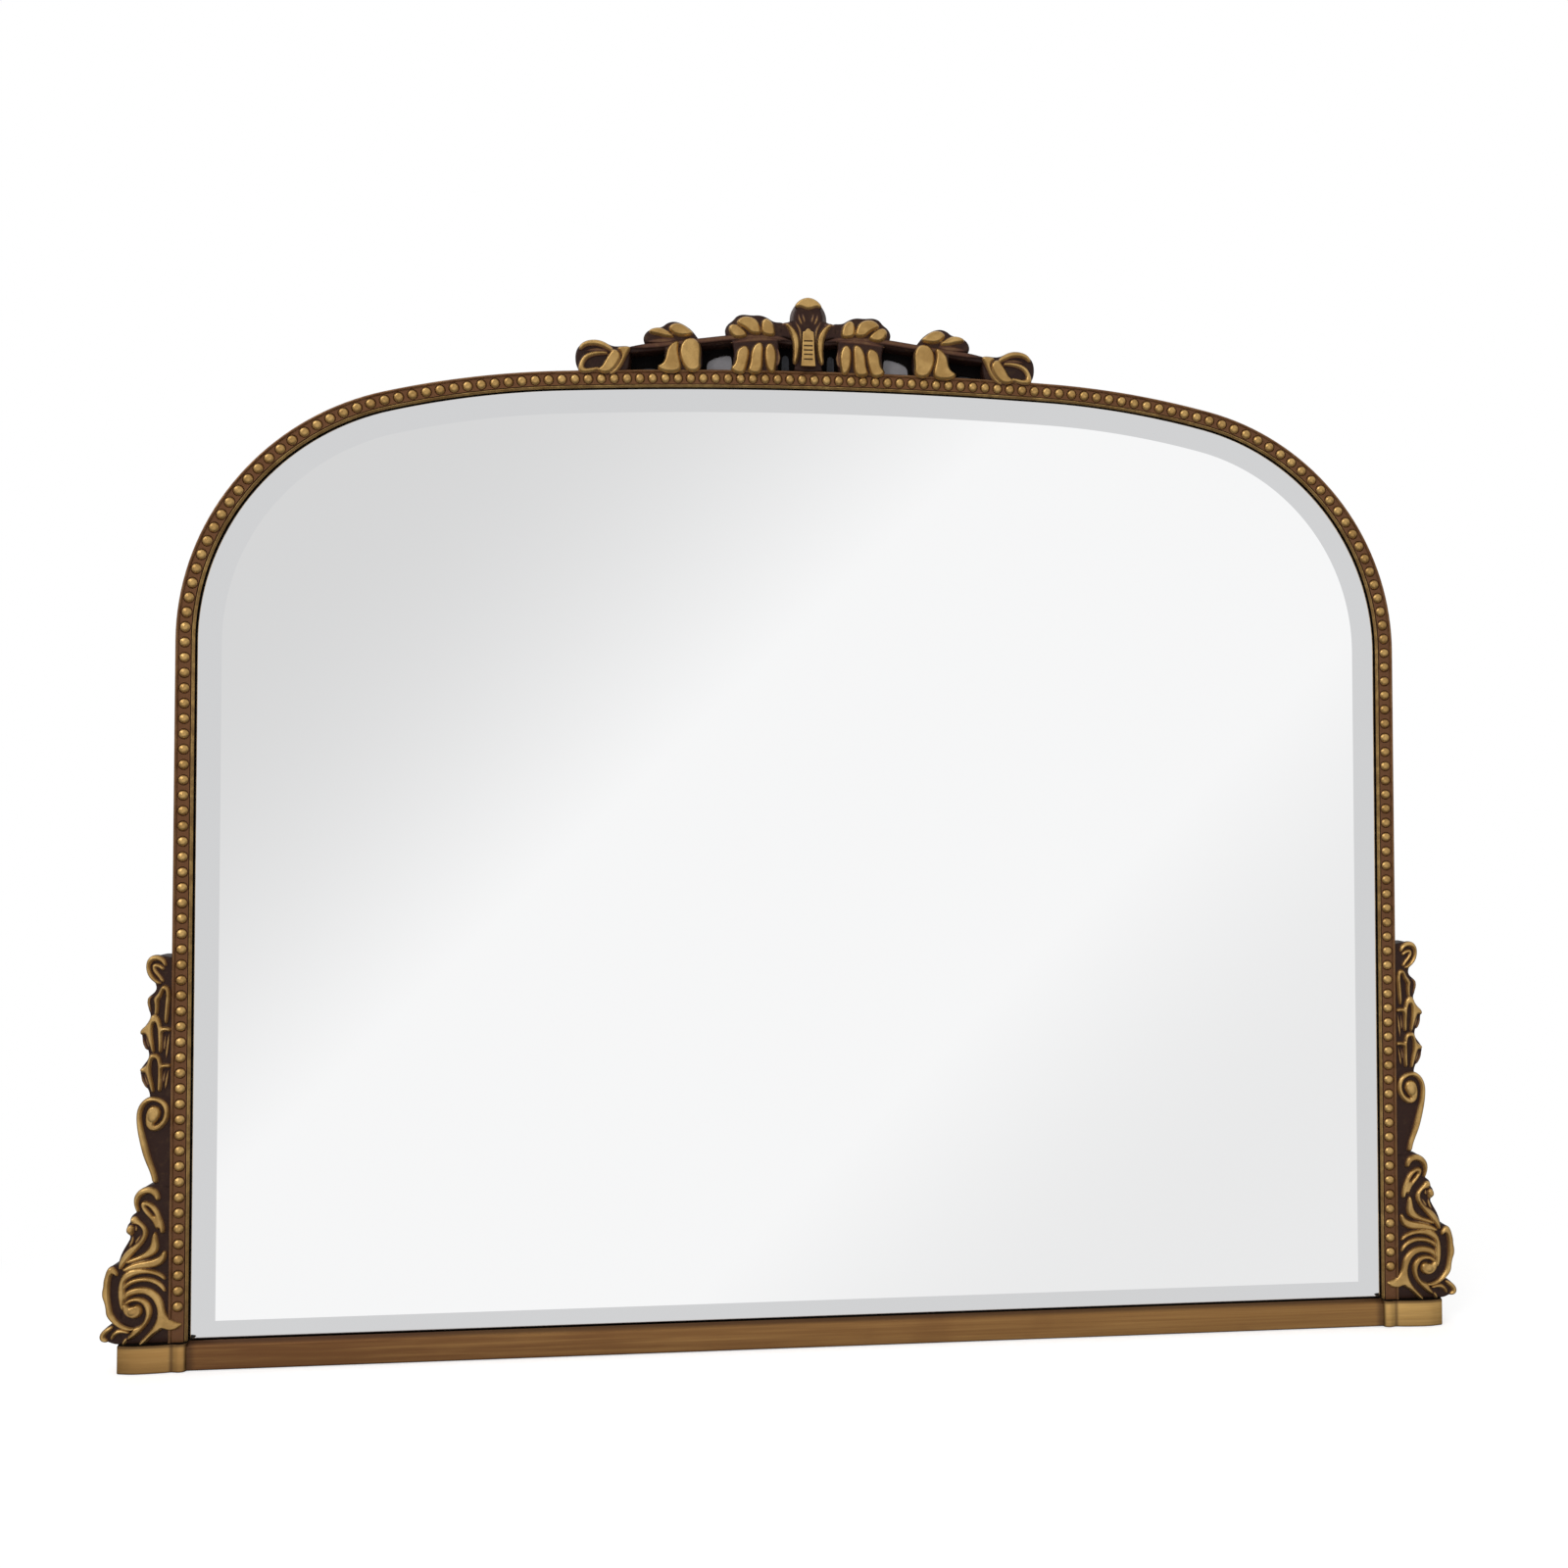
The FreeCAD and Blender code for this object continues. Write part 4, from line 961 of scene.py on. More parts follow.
@dataclass
class BeadStrings:
    """Strips of beads in round sockets, on the channel floor of the moulding, in millimetres.

    The guide is the inset of the row of beads. The profile of a bead gives rings of points: their share of
    its half width, and their share of its height.
    """

    guide: float = 8.45
    half_strip: float = 5.1
    band: float = -6.4
    floor: float = -4.9
    groove: float = -5.3
    socket: float = 4.98
    least_wall: float = 0.25
    bead_across: float = 4.7
    bead_along: float = 4.5
    bead_top: float = -9.1
    profile: Section = ((1.0, 0.0), (0.93, 0.42), (0.68, 0.80), (0.34, 0.97))
    corners: int = 12
    side_pitch: float = 13.45
    side_count: int = 44
    side_start: float = 47.9
    foot: float = 24.0
    arch_count: int = 110
    # How much closer together the beads of the arch lie at the crown.
    crowding: float = 0.08
    slack: float = 0.001
    seam: float = 0.05
    sharp: float = 38.0

    def make_cell(self, pitch: float) -> bpy.types.Object:
        """One bead in its socket, from a round face: X is along the strip, Z across it, Y as in the frame.

        Args:
            pitch: length of the cell.

        Returns:
            The cell, open at its two ends.
        """
        put_down()
        bpy.ops.mesh.primitive_circle_add(vertices=self.corners, radius=MM, fill_type="NOTHING")
        cell = bpy.context.object
        half = pitch / 2
        turns = [math.tau * (index + 0.5) / self.corners for index in range(self.corners)]
        reach = min(self.socket, half - self.least_wall)
        rings = [(reach, self.socket, self.band)]
        for share, height in self.profile:
            y = self.groove + (self.bead_top - self.groove) * height
            rings.append((self.bead_along * share, self.bead_across * share, y))
        pick_up(cell)
        for vertex, turn in zip(cell.data.vertices, turns):
            vertex.co = self.on_border(turn, half) * MM
        for along, across, y in rings:
            self.grow_ring(cell, [Vector((along * math.cos(t), y, across * math.sin(t))) for t in turns])
        bpy.ops.object.mode_set(mode="EDIT")
        bpy.ops.mesh.edge_face_add()
        bpy.ops.mesh.poke(offset=0.0)
        close_up()
        crown = min(cell.data.vertices, key=lambda vertex: vertex.co.y)
        crown.co = Vector((0.0, self.bead_top, 0.0)) * MM
        self.add_skirt(cell)
        return cell

    def on_border(self, turn: float, half: float) -> Vector:
        """Point on the border of a cell with this half length, at this turn round its middle."""
        across, along = math.sin(turn), math.cos(turn)
        longest = max(abs(across), abs(along))
        return Vector((half * along / longest, self.band, self.half_strip * across / longest))

    def grow_ring(self, cell: bpy.types.Object, ring: list[Vector]) -> None:
        """Extrude the cell's free inner edge.

        Args:
            cell: the cell.
            ring: where its new points go, in millimetres.
        """
        bpy.ops.object.mode_set(mode="EDIT")
        bpy.ops.mesh.select_mode(type="EDGE")
        if len(cell.data.polygons) == 0:
            bpy.ops.mesh.select_all(action="SELECT")
        bpy.ops.mesh.extrude_edges_move(TRANSFORM_OT_translate={"value": (0.0, 0.0, 0.0)})
        close_up()
        fresh = [vertex for vertex in cell.data.vertices if vertex.select]
        for vertex, place in zip(fresh, ring):
            vertex.co = place * MM

    def add_skirt(self, cell: bpy.types.Object) -> None:
        """Add sides and a back to the cell, so that a row of cells is a closed strip."""
        shell = bmesh.new()
        shell.from_mesh(cell.data)
        rows = {}
        for sign in (-1, 1):
            edge = [v for v in shell.verts if abs(v.co.z / MM - sign * self.half_strip) < self.slack]
            edge.sort(key=lambda v: v.co.x)
            deep = [shell.verts.new((v.co.x, self.floor * MM, v.co.z)) for v in edge]
            for index in range(len(edge) - 1):
                shell.faces.new((edge[index], edge[index + 1], deep[index + 1], deep[index]))
            rows[sign] = deep
        for index in range(len(rows[1]) - 1):
            shell.faces.new((rows[1][index], rows[1][index + 1], rows[-1][index + 1], rows[-1][index]))
        shell.to_mesh(cell.data)
        shell.free()

    def make_strip(self, name: str, pitch: float, count: int) -> bpy.types.Object:
        """Row of cells, joined and closed at both ends, starting at X = 0.

        Args:
            name: name of the strip.
            pitch: length of each cell.
            count: number of beads.

        Returns:
            The strip, straight.
        """
        cell = self.make_cell(pitch)
        row = [copied(cell, "bead", moved((index + 0.5) * pitch, 0.0, 0.0)) for index in range(count)]
        strip = weld(row, name)
        bpy.data.objects.remove(cell)
        open_up(strip, "EDGE")
        bpy.ops.mesh.remove_doubles(threshold=self.seam * MM)
        bpy.ops.mesh.select_all(action="DESELECT")
        bpy.ops.mesh.select_non_manifold(extend=False)
        bpy.ops.mesh.fill_holes(sides=0)
        bpy.ops.mesh.select_all(action="SELECT")
        bpy.ops.mesh.normals_make_consistent(inside=False)
        close_up()
        return strip

    def lengthen(self, strip: bpy.types.Object, length: float) -> None:
        """Run the strip's plain ground on past its first cell.

        Args:
            strip: the strip.
            length: how far it runs on.
        """
        open_at(strip, "FACE", lambda face: face.center.x < self.slack * MM)
        bpy.ops.mesh.extrude_region_move(TRANSFORM_OT_translate={"value": (-length * MM, 0.0, 0.0)})
        close_up()

    def make_side(self) -> bpy.types.Object:
        """String of the left stile."""
        strip = self.make_strip("bead_string_left", self.side_pitch, self.side_count)
        self.lengthen(strip, self.side_start - self.foot)
        middle = -ARCH.half_width + self.guide
        for vertex in strip.data.vertices:
            along, y, across = vertex.co
            vertex.co = Vector((middle * MM - across, y, self.side_start * MM + along))
        smooth(seal(strip), self.sharp)
        return strip

    def make_arch(self) -> bpy.types.Object:
        """String of the arch, laid along its guide line; its beads lie closer together towards the crown."""
        first = self.side_start + self.side_pitch * self.side_count - ARCH.spring
        length = ARCH.length(self.guide) - 2.0 * first
        strip = self.make_strip("bead_string_arch", length / self.arch_count, self.arch_count)
        for vertex in strip.data.vertices:
            along, y, across = vertex.co / MM
            along += self.crowding * length / math.tau * math.sin(math.tau * along / length)
            x, z = ARCH.point(first + along, self.guide, self.guide - across)
            vertex.co = Vector((x, y, z)) * MM
        smooth(seal(strip), self.sharp)
        return strip

    def build(self, finishes: Finishes) -> None:
        """Make the three strings and dress them."""
        gilding = [finishes["bead_gilding"]]
        fit_out_pair(self.make_side(), Side.LEFT, "bead_string_{}", "beads_{}", gilding)
        fit_out(self.make_arch(), "beads_arch", gilding)


@dataclass
class Rail:
    """Bottom rail, in millimetres: Y and Z of its section."""

    section: Section = (
        (9.0, 0.0), (-8.0, 0.0), (-8.6, 0.3), (-8.9, 0.8), (-9.0, 1.5), (-9.0, 20.2), (-8.9, 20.7),
        (-8.5, 21.1), (-3.6, 24.0), (-2.9, 23.7), (-2.9, 16.5), (9.0, 16.5),
    )
    half_length: float = 538.0
    # Faces behind this and above the sole are black: partly the sight edge's black paint, partly painted
    # shade over the rail's top.
    black_from: float = -3.4
    sole: float = 1.0
    sharp: float = 35.0

    def build(self, finishes: Finishes) -> None:
        """Make the rail and dress it."""
        corners = (Vector((-self.half_length, y, z)) for y, z in self.section)
        rail = extrude(outline_face(corners, "bottom_rail_brushed"), 2 * self.half_length, 0.0, 0.0)
        for face in rail.data.polygons:
            _, y, z = face.center / MM
            # Faces behind the front and above the sole take the black: partly paint, partly painted shade.
            face.material_index = int(y > self.black_from and z > self.sole)
        smooth(rail, self.sharp)
        fit_out(rail, "bottom_rail", [finishes["rail_gilding"], finishes["sight_black"]])


@dataclass
class EndBlocks:
    """Blocks at the ends of the rail, in millimetres: X and Y of the right one's section."""

    section: Section = (
        (538.0, 9.0), (538.0, -9.6), (538.7, -10.6), (540.2, -11.4), (542.4, -11.9), (544.8, -11.8),
        (547.0, -11.2), (549.0, -10.8), (551.2, -10.95), (554.2, -11.4), (558.0, -11.8), (563.0, -12.15),
        (570.0, -12.5), (577.0, -12.65), (582.0, -12.5), (585.5, -12.1), (590.0, -11.3), (593.6, -10.6),
        (594.7, -10.1), (595.0, -9.4), (595.0, 9.0),
    )
    height: float = 24.0
    edge: float = 0.7
    # The edges in front of this are rounded.
    front: float = -9.0
    slack: float = 0.01

    def is_rounded(self, block: bpy.types.Object, edge: bpy.types.MeshEdge) -> bool:
        """True if an edge of the block is level and in front."""
        one, other = (block.data.vertices[index].co for index in edge.vertices)
        return abs(one.z - other.z) < SAME_PLACE and max(one.y, other.y) < self.front * MM

    def make_right(self) -> bpy.types.Object:
        """Right block, with its upper and lower edges rounded, and its top face black as painted shadow under
        the ornament.
        """
        face = outline_face((Vector((x, y, 0.0)) for x, y in self.section), "end_block_right_brushed")
        block = extrude(face, 0.0, 0.0, self.height)
        open_at(block, "EDGE", lambda edge: self.is_rounded(block, edge))
        bpy.ops.mesh.bevel(offset=self.edge * MM, segments=2, affect="EDGES")
        close_up()
        seal(block)
        for face in block.data.polygons:
            # The top face takes the black finish: painted shadow under the ornament.
            face.material_index = int(face.center.z > (self.height - self.slack) * MM)
        smooth(block)
        return block

    def build(self, finishes: Finishes) -> None:
        """Make both blocks and dress them."""
        both = [finishes["block_gilding"], finishes["sight_black"]]
        fit_out_pair(self.make_right(), Side.RIGHT, "end_block_{}_brushed", "end_block_{}", both)


@dataclass
class Glass:
    """Bevelled silvered glass, in millimetres."""

    inset: float = 11.0
    bottom: float = 18.0
    back: float = 1.6
    edge_front: float = -0.9
    arc_step: float = 5.0
    bevel_width: float = 27.5
    bevel_depth: float = 2.5
    foot_bevel: float = 22.2
    # A face whose normal has a Y below this looks into the room.
    facing: float = -0.9
    slack: float = 1.0
    sharp: float = 1.5

    def build(self, finishes: Finishes) -> None:
        """Make the glass from its outline, inset its face for the bevel, and dress it."""
        line = ARCH.outline(self.inset, self.bottom, self.arc_step)
        pane = outline_face((Vector((x, self.back, z)) for x, z in line), "bevelled_glass")
        extrude(pane, 0.0, self.edge_front - self.back, 0.0)
        open_at(pane, "FACE", lambda face: face.normal.y < self.facing)
        bpy.ops.mesh.inset(thickness=self.bevel_width * MM, depth=self.bevel_depth * MM, use_even_offset=True)
        close_up()
        lowest = (self.bottom + self.bevel_width + self.slack) * MM
        for vertex in pane.data.vertices:
            if vertex.select and vertex.co.z < lowest:
                vertex.co.z = (self.bottom + self.foot_bevel) * MM
        smooth(seal(pane), self.sharp)
        fit_out(pane, "mirror_glass", [finishes["silvered_glass"]])


# Carving: each piece is drawn on a sheet laid over it, and raised from its plate.


@dataclass(frozen=True)
class Sheet:
    """Drawing sheet: place of its upper left corner in the frame, and size of its units in millimetres."""

    x: float
    z: float
    across: float
    down: float

    def at(self, across: float, down: float) -> tuple[float, float]:
        """X and Z in millimetres of a point on the sheet."""
        return self.x + across * self.across, self.z - down * self.down


SIDE_LOW = Sheet(535.0, 195.0, 1 / 9, 1 / 9)
SIDE_HIGH = Sheet(535.0, 370.0, 1 / 9, 1 / 9)
CREST_SHEET = Sheet(230.0, 965.0, -1 / 8, 1 / 8)
FINIAL_SHEET = Sheet(-61.5, 970.0, 1 / 13, 1 / 13)


@dataclass(frozen=True)
class Pad:
    """Raised leaf or band: its closed outline on the sheet, and how far it stands up."""

    ring: Section
    rise: float = 3.8


@dataclass(frozen=True)
class Strand:
    """Raised rib: points on the sheet with its half width there, and how far it stands up at its widest."""

    line: Line
    rise: float


@dataclass(frozen=True)
class Boss:
    """Raised oval: centre on the sheet, half width and height, lean in degrees, and how far it stands up."""

    x: float
    z: float
    across: float
    up: float
    lean: float
    rise: float


@dataclass(frozen=True)
class Carving:
    """One carved piece: a plate with raised leaves, ribs and ovals, fused and softened, in millimetres.

    The plates are drawn in the frame, all else on the sheet, and shift moves both into place. Ground and back
    are Y of the plate's two faces, and edge is the radius of its edges. A pad is spread past its outline and
    domed: it falls to the share shoulder of its height within reach of its wall. Ribs and ovals are wider
    than drawn by skirt, and a rib narrows to the share taper at its ends. The parts are fused on a grid of
    voxels, and the piece is thinned to this number of faces. With both_sides, each part right of the middle
    has a twin.
    """

    name: str
    plates: tuple[Section, ...]
    sheet: Sheet
    pads: tuple[Pad, ...] = ()
    strands: tuple[Strand, ...] = ()
    bosses: tuple[Boss, ...] = ()
    ground: float = -5.2
    back: float = 13.0
    edge: float = 1.2
    shift: Span = (1.5, -2.1)
    voxel: float = 0.5
    faces: int = 60000
    both_sides: bool = False
    skirt: float = 0.35
    fullness: float = 1.0
    buried: float = 1.9
    spread: float = 0.75
    pad_edge: float = 0.4
    reach: float = 2.3
    shoulder: float = 0.25
    taper: float = 0.3
    softening: int = 4
    curve_steps: int = 5
    edge_steps: int = 3
    # A part that begins this far right of the middle has a twin.
    twin_from: float = 0.5

    def make_slab(
        self, ring: Section, back: float, front: float, edge: float, spread: float = 0.0
    ) -> bpy.types.Object:
        """Slab with rounded edges, from a closed flat curve.

        Args:
            ring: X and Z of its outline.
            back: Y of its back.
            front: Y of its front.
            edge: radius of its edges.
            spread: how far it reaches past its outline.

        Returns:
            The slab.
        """
        put_down()
        bpy.ops.curve.primitive_bezier_circle_add(radius=MM)
        curve = bpy.context.object.data
        curve.splines.clear()
        spline = curve.splines.new("NURBS")
        spline.points.add(len(ring) - 1)
        for point, (x, z) in zip(spline.points, ring):
            point.co = (x * MM, z * MM, 0.0, 1.0)
        spline.use_cyclic_u = True
        spline.order_u = 3
        spline.resolution_u = self.curve_steps
        curve.dimensions = "2D"
        curve.fill_mode = "BOTH"
        curve.extrude = ((back - front) / 2 - edge) * MM
        curve.bevel_depth = edge * MM
        curve.bevel_resolution = self.edge_steps
        curve.offset = (spread - edge) * MM
        bpy.ops.object.convert(target="MESH")
        slab = bpy.context.object
        slab.data.transform(self.upright(1.0, (back + front) / 2 * MM))
        return seal(slab, SAME_PLACE)

    @staticmethod
    def upright(tall: float, middle: float) -> Matrix:
        """Matrix that stands a flat curve up: its Z goes to the room, times tall, from the middle's Y."""
        return Matrix(((1, 0, 0, 0), (0, 0, -tall, middle), (0, 1, 0, 0), (0, 0, 0, 1)))

    def make_pad(self, pad: Pad) -> bpy.types.Object:
        """Pad, standing on the plate's face and a little buried in it, with a domed top."""
        ring = tuple(self.sheet.at(*corner) for corner in pad.ring)
        back, front = self.ground + self.buried, self.ground - pad.rise
        slab = self.make_slab(ring, back, front, self.pad_edge, self.spread)
        self.remesh(slab)
        self.round_over(slab)
        return slab

    def remesh(self, thing: bpy.types.Object) -> None:
        """Rebuild a closed mesh on an even grid."""
        pick_up(thing)
        thing.data.remesh_voxel_size = self.voxel * MM
        thing.data.remesh_voxel_adaptivity = 0.0
        bpy.ops.object.voxel_remesh()

    def round_over(self, pad: bpy.types.Object) -> None:
        """Dome a pad: its top falls towards its outline, from as far in as the reach."""
        points = pad.data.vertices
        walls = [point.co.copy() for point in points if abs(point.normal.y) < 0.5]
        tree = KDTree(len(walls))
        for index, place in enumerate(walls):
            tree.insert((place.x, 0.0, place.z), index)
        tree.balance()
        foot = self.ground * MM
        for point in points:
            height = foot - point.co.y
            if height > 0.0:
                _, _, near = tree.find((point.co.x, 0.0, point.co.z))
                share = math.sin(math.pi / 2 * min(near / (self.reach * MM), 1.0))
                point.co.y = foot - height * (self.shoulder + (1.0 - self.shoulder) * share)

    def make_strand(self, strand: Strand) -> bpy.types.Object:
        """Strand, from a smooth path with a radius at each point."""
        put_down()
        bpy.ops.curve.primitive_nurbs_path_add(radius=MM)
        thing = bpy.context.object
        curve = thing.data
        spline = curve.splines[0]
        if len(strand.line) > len(spline.points):
            spline.points.add(len(strand.line) - len(spline.points))
        line = list(strand.line)
        while len(line) < len(spline.points):
            first, second = line[-2:]
            line.insert(-1, tuple((a + b) / 2 for a, b in zip(first, second)))
        for point, (across, down, half) in zip(spline.points, line):
            x, z = self.sheet.at(across, down)
            point.co = (x * MM, z * MM, 0.0, 1.0)
            point.radius = half + self.skirt
        for end in (spline.points[0], spline.points[-1]):
            end.radius *= self.taper
        spline.order_u = 3
        spline.use_endpoint_u = True
        spline.resolution_u = self.curve_steps
        curve.bevel_depth = MM
        curve.bevel_resolution = self.edge_steps
        curve.use_fill_caps = True
        bpy.ops.object.convert(target="MESH")
        band = bpy.context.object
        widest = max(half for _, _, half in strand.line) + self.skirt
        band.data.transform(self.upright(strand.rise / widest, self.ground * MM))
        self.fill_out(band, strand.rise)
        return seal(band, SAME_PLACE)

    def fill_out(self, part: bpy.types.Object, rise: float) -> None:
        """Give a raised part steeper sides and a flatter top.

        Args:
            part: the part, standing towards the room from the plate's face.
            rise: how far it stands up.
        """
        foot = self.ground * MM
        top = math.tanh(self.fullness)
        for vertex in part.data.vertices:
            height = (foot - vertex.co.y) / (rise * MM)
            if height > 0.0:
                vertex.co.y = foot - rise * MM * math.tanh(self.fullness * height) / top

    def make_boss(self, boss: Boss) -> bpy.types.Object:
        """Oval, from a ball pressed flat and leaned over."""
        put_down()
        bpy.ops.mesh.primitive_uv_sphere_add(segments=20, ring_count=12, radius=MM)
        ball = bpy.context.object
        size = Matrix.Diagonal(Vector((boss.across + self.skirt, boss.rise, boss.up + self.skirt, 1.0)))
        lean = Matrix.Rotation(math.radians(-boss.lean), 4, "Y")
        x, z = self.sheet.at(boss.x, boss.z)
        ball.data.transform(moved(x, self.ground, z) @ lean @ size)
        self.fill_out(ball, boss.rise)
        return ball

    def make(self) -> bpy.types.Object:
        """Fuse the parts, soften them and thin the mesh."""
        parts = [self.make_slab(ring, self.back, self.ground, self.edge) for ring in self.plates]
        parts += [self.make_pad(pad) for pad in self.pads]
        parts += [self.make_strand(strand) for strand in self.strands]
        parts += [self.make_boss(boss) for boss in self.bosses]
        if self.both_sides:
            parts += [mirrored(part, "twin") for part in parts[len(self.plates):] if self.is_aside(part)]
        piece = weld(parts, self.name)
        piece.data.transform(moved(self.shift[0], 0.0, self.shift[1]))
        self.remesh(piece)
        apply_modifier(piece, "SMOOTH", factor=0.5, iterations=self.softening)
        triangles = sum(len(face.vertices) - 2 for face in piece.data.polygons)
        if triangles > self.faces:
            apply_modifier(piece, "DECIMATE", ratio=self.faces / triangles)
        pick_up(piece)
        bpy.ops.object.shade_smooth()
        return piece

    def is_aside(self, part: bpy.types.Object) -> bool:
        """True if a part lies wholly right of the middle plane."""
        return min(vertex.co.x for vertex in part.data.vertices) > self.twin_from * MM


def dress_carvings(carvings: dict[str, Carving], gilding: bpy.types.Material) -> None:
    """Carve pieces for the right side, by the name of their nodes, mirror them to the left and dress both."""
    for node, carving in carvings.items():
        name = carving.name + "_{}"
        fit_out_pair(carving.make(), Side.RIGHT, name, node + "_{}", [gilding])


# Drawings of the side ornament.

PALMETTE = Carving(
    "palmette_carving",
    (((550, 236), (550, 236), (550, 300), (550, 356), (550, 357.5), (556, 359.5), (563, 361), (569.5, 360),
      (574, 355.5), (574.5, 349), (571.8, 342), (567.5, 337), (566.3, 331.5), (569, 327.8), (573, 325),
      (574.2, 320), (572.7, 313), (570.8, 308.5), (573, 303), (577.5, 297.3), (578.8, 291.5), (575.7, 283.5),
      (572.3, 277.5), (572.3, 271.5), (576, 266.5), (579.7, 261.5), (578.2, 254), (573.2, 246), (571, 240),
      (571.5, 236), (571.5, 236)),),
    SIDE_HIGH,
    (
        Pad(((202, 152), (214, 114), (246, 90), (285, 82), (320, 92), (344, 122), (351, 162), (347, 202),
             (333, 240), (312, 268), (284, 292), (262, 306), (240, 300), (255, 285), (280, 268), (300, 246),
             (318, 215), (328, 180), (326, 150), (312, 128), (290, 116), (262, 116), (238, 130), (220, 152),
             (208, 165))),
        Pad(((220, 182), (236, 162), (268, 148), (294, 148), (307, 166), (302, 197), (282, 228), (254, 259),
             (236, 288), (220, 284), (236, 252), (262, 220), (282, 190), (284, 172), (268, 170), (246, 182),
             (230, 197)), 3.2),
        Pad(((176, 372), (184, 336), (204, 316), (228, 320), (244, 345), (256, 378), (282, 406), (292, 428),
             (284, 455), (282, 500), (286, 542), (267, 546), (260, 500), (260, 455), (260, 430), (242, 406),
             (232, 378), (221, 352), (209, 346), (200, 363), (199, 400), (204, 450), (208, 520), (210, 600),
             (198, 616), (188, 560), (182, 500), (176, 440), (173, 400))),
        Pad(((234, 838), (229, 790), (230, 730), (232, 686), (218, 672), (196, 668), (172, 674), (166, 659),
             (184, 646), (210, 644), (236, 648), (241, 612), (254, 571), (276, 546), (298, 548), (317, 573),
             (328, 606), (350, 634), (378, 658), (392, 682), (378, 700), (360, 688), (347, 694), (336, 724),
             (324, 758), (312, 792), (300, 838), (286, 834), (292, 790), (298, 740), (303, 700), (304, 655),
             (301, 622), (289, 600), (276, 602), (266, 624), (259, 660), (255, 720), (252, 780), (252, 838))),
        Pad(((236, 1140), (230, 1080), (230, 1010), (232, 972), (218, 958), (196, 953), (170, 956),
             (166, 939), (184, 930), (210, 932), (234, 936), (238, 900), (250, 869), (272, 851), (300, 850),
             (320, 867), (328, 895), (334, 928), (354, 952), (382, 965), (389, 981), (368, 992), (351, 990),
             (340, 1015), (328, 1054), (314, 1098), (300, 1147), (286, 1144), (294, 1090), (304, 1040),
             (312, 1000), (314, 960), (312, 917), (301, 888), (282, 881), (264, 890), (256, 920), (254, 970),
             (254, 1020), (254, 1080), (256, 1140))),
    ),
    (
        Strand(((302, 398, 0.8), (326, 406, 1.0), (336, 440, 1.0), (329, 485, 1.0), (314, 530, 0.8)), 1.5),
        Strand(((179, 690, 0.6), (184, 750, 0.8), (192, 820, 0.8), (200, 890, 0.6)), 1.7),
        Strand(((206, 696, 0.5), (210, 760, 0.7), (215, 825, 0.5)), 1.5),
        Strand(((353, 712, 0.5), (341, 752, 0.7), (327, 800, 0.5)), 1.5),
        Strand(((380, 708, 0.8), (368, 760, 1.0), (343, 820, 0.8)), 1.2),
        Strand(((181, 974, 0.6), (188, 1020, 0.8), (197, 1080, 0.8), (205, 1126, 0.6)), 1.7),
        Strand(((207, 978, 0.5), (213, 1022, 0.7), (220, 1078, 0.5)), 1.5),
        Strand(((362, 1008, 0.5), (346, 1052, 0.7), (327, 1098, 0.6)), 1.5),
        Strand(((386, 1006, 0.8), (374, 1050, 1.0), (338, 1120, 0.8)), 1.2),
    ),
)

VOLUTE = Carving(
    "volute_carving",
    (((550, 157), (550, 157), (550, 200), (550, 240), (550, 240), (566, 239.5), (573, 237.7), (578.5, 233),
      (581, 225), (581, 214), (579.5, 200), (575.5, 186), (570, 173), (566.5, 163), (566, 157), (566, 157)),),
    SIDE_HIGH,
    (
        Pad(((286, 1850), (294, 1800), (314, 1745), (338, 1690), (358, 1635), (374, 1575), (388, 1515),
             (400, 1455), (408, 1395), (411, 1340), (406, 1290), (387, 1243), (356, 1209), (320, 1190),
             (275, 1189), (235, 1201), (198, 1228), (177, 1267), (171, 1310), (177, 1350), (194, 1389),
             (221, 1423), (255, 1446), (291, 1449), (320, 1432), (338, 1402), (342, 1362), (339, 1320),
             (327, 1281), (303, 1261), (275, 1258), (250, 1272), (237, 1300), (240, 1331), (257, 1362),
             (278, 1387), (290, 1402), (274, 1410), (246, 1395), (222, 1370), (208, 1340), (202, 1305),
             (209, 1270), (225, 1244), (252, 1224), (285, 1215), (316, 1219), (342, 1235), (362, 1262),
             (376, 1297), (379, 1340), (374, 1390), (364, 1440), (348, 1500), (331, 1560), (316, 1620),
             (300, 1675), (283, 1725), (264, 1775), (254, 1820), (252, 1850))),
    ),
    (),
    (
        Boss(288, 1328, 4.7, 7.3, 4.0, 4.9),
    ),
)

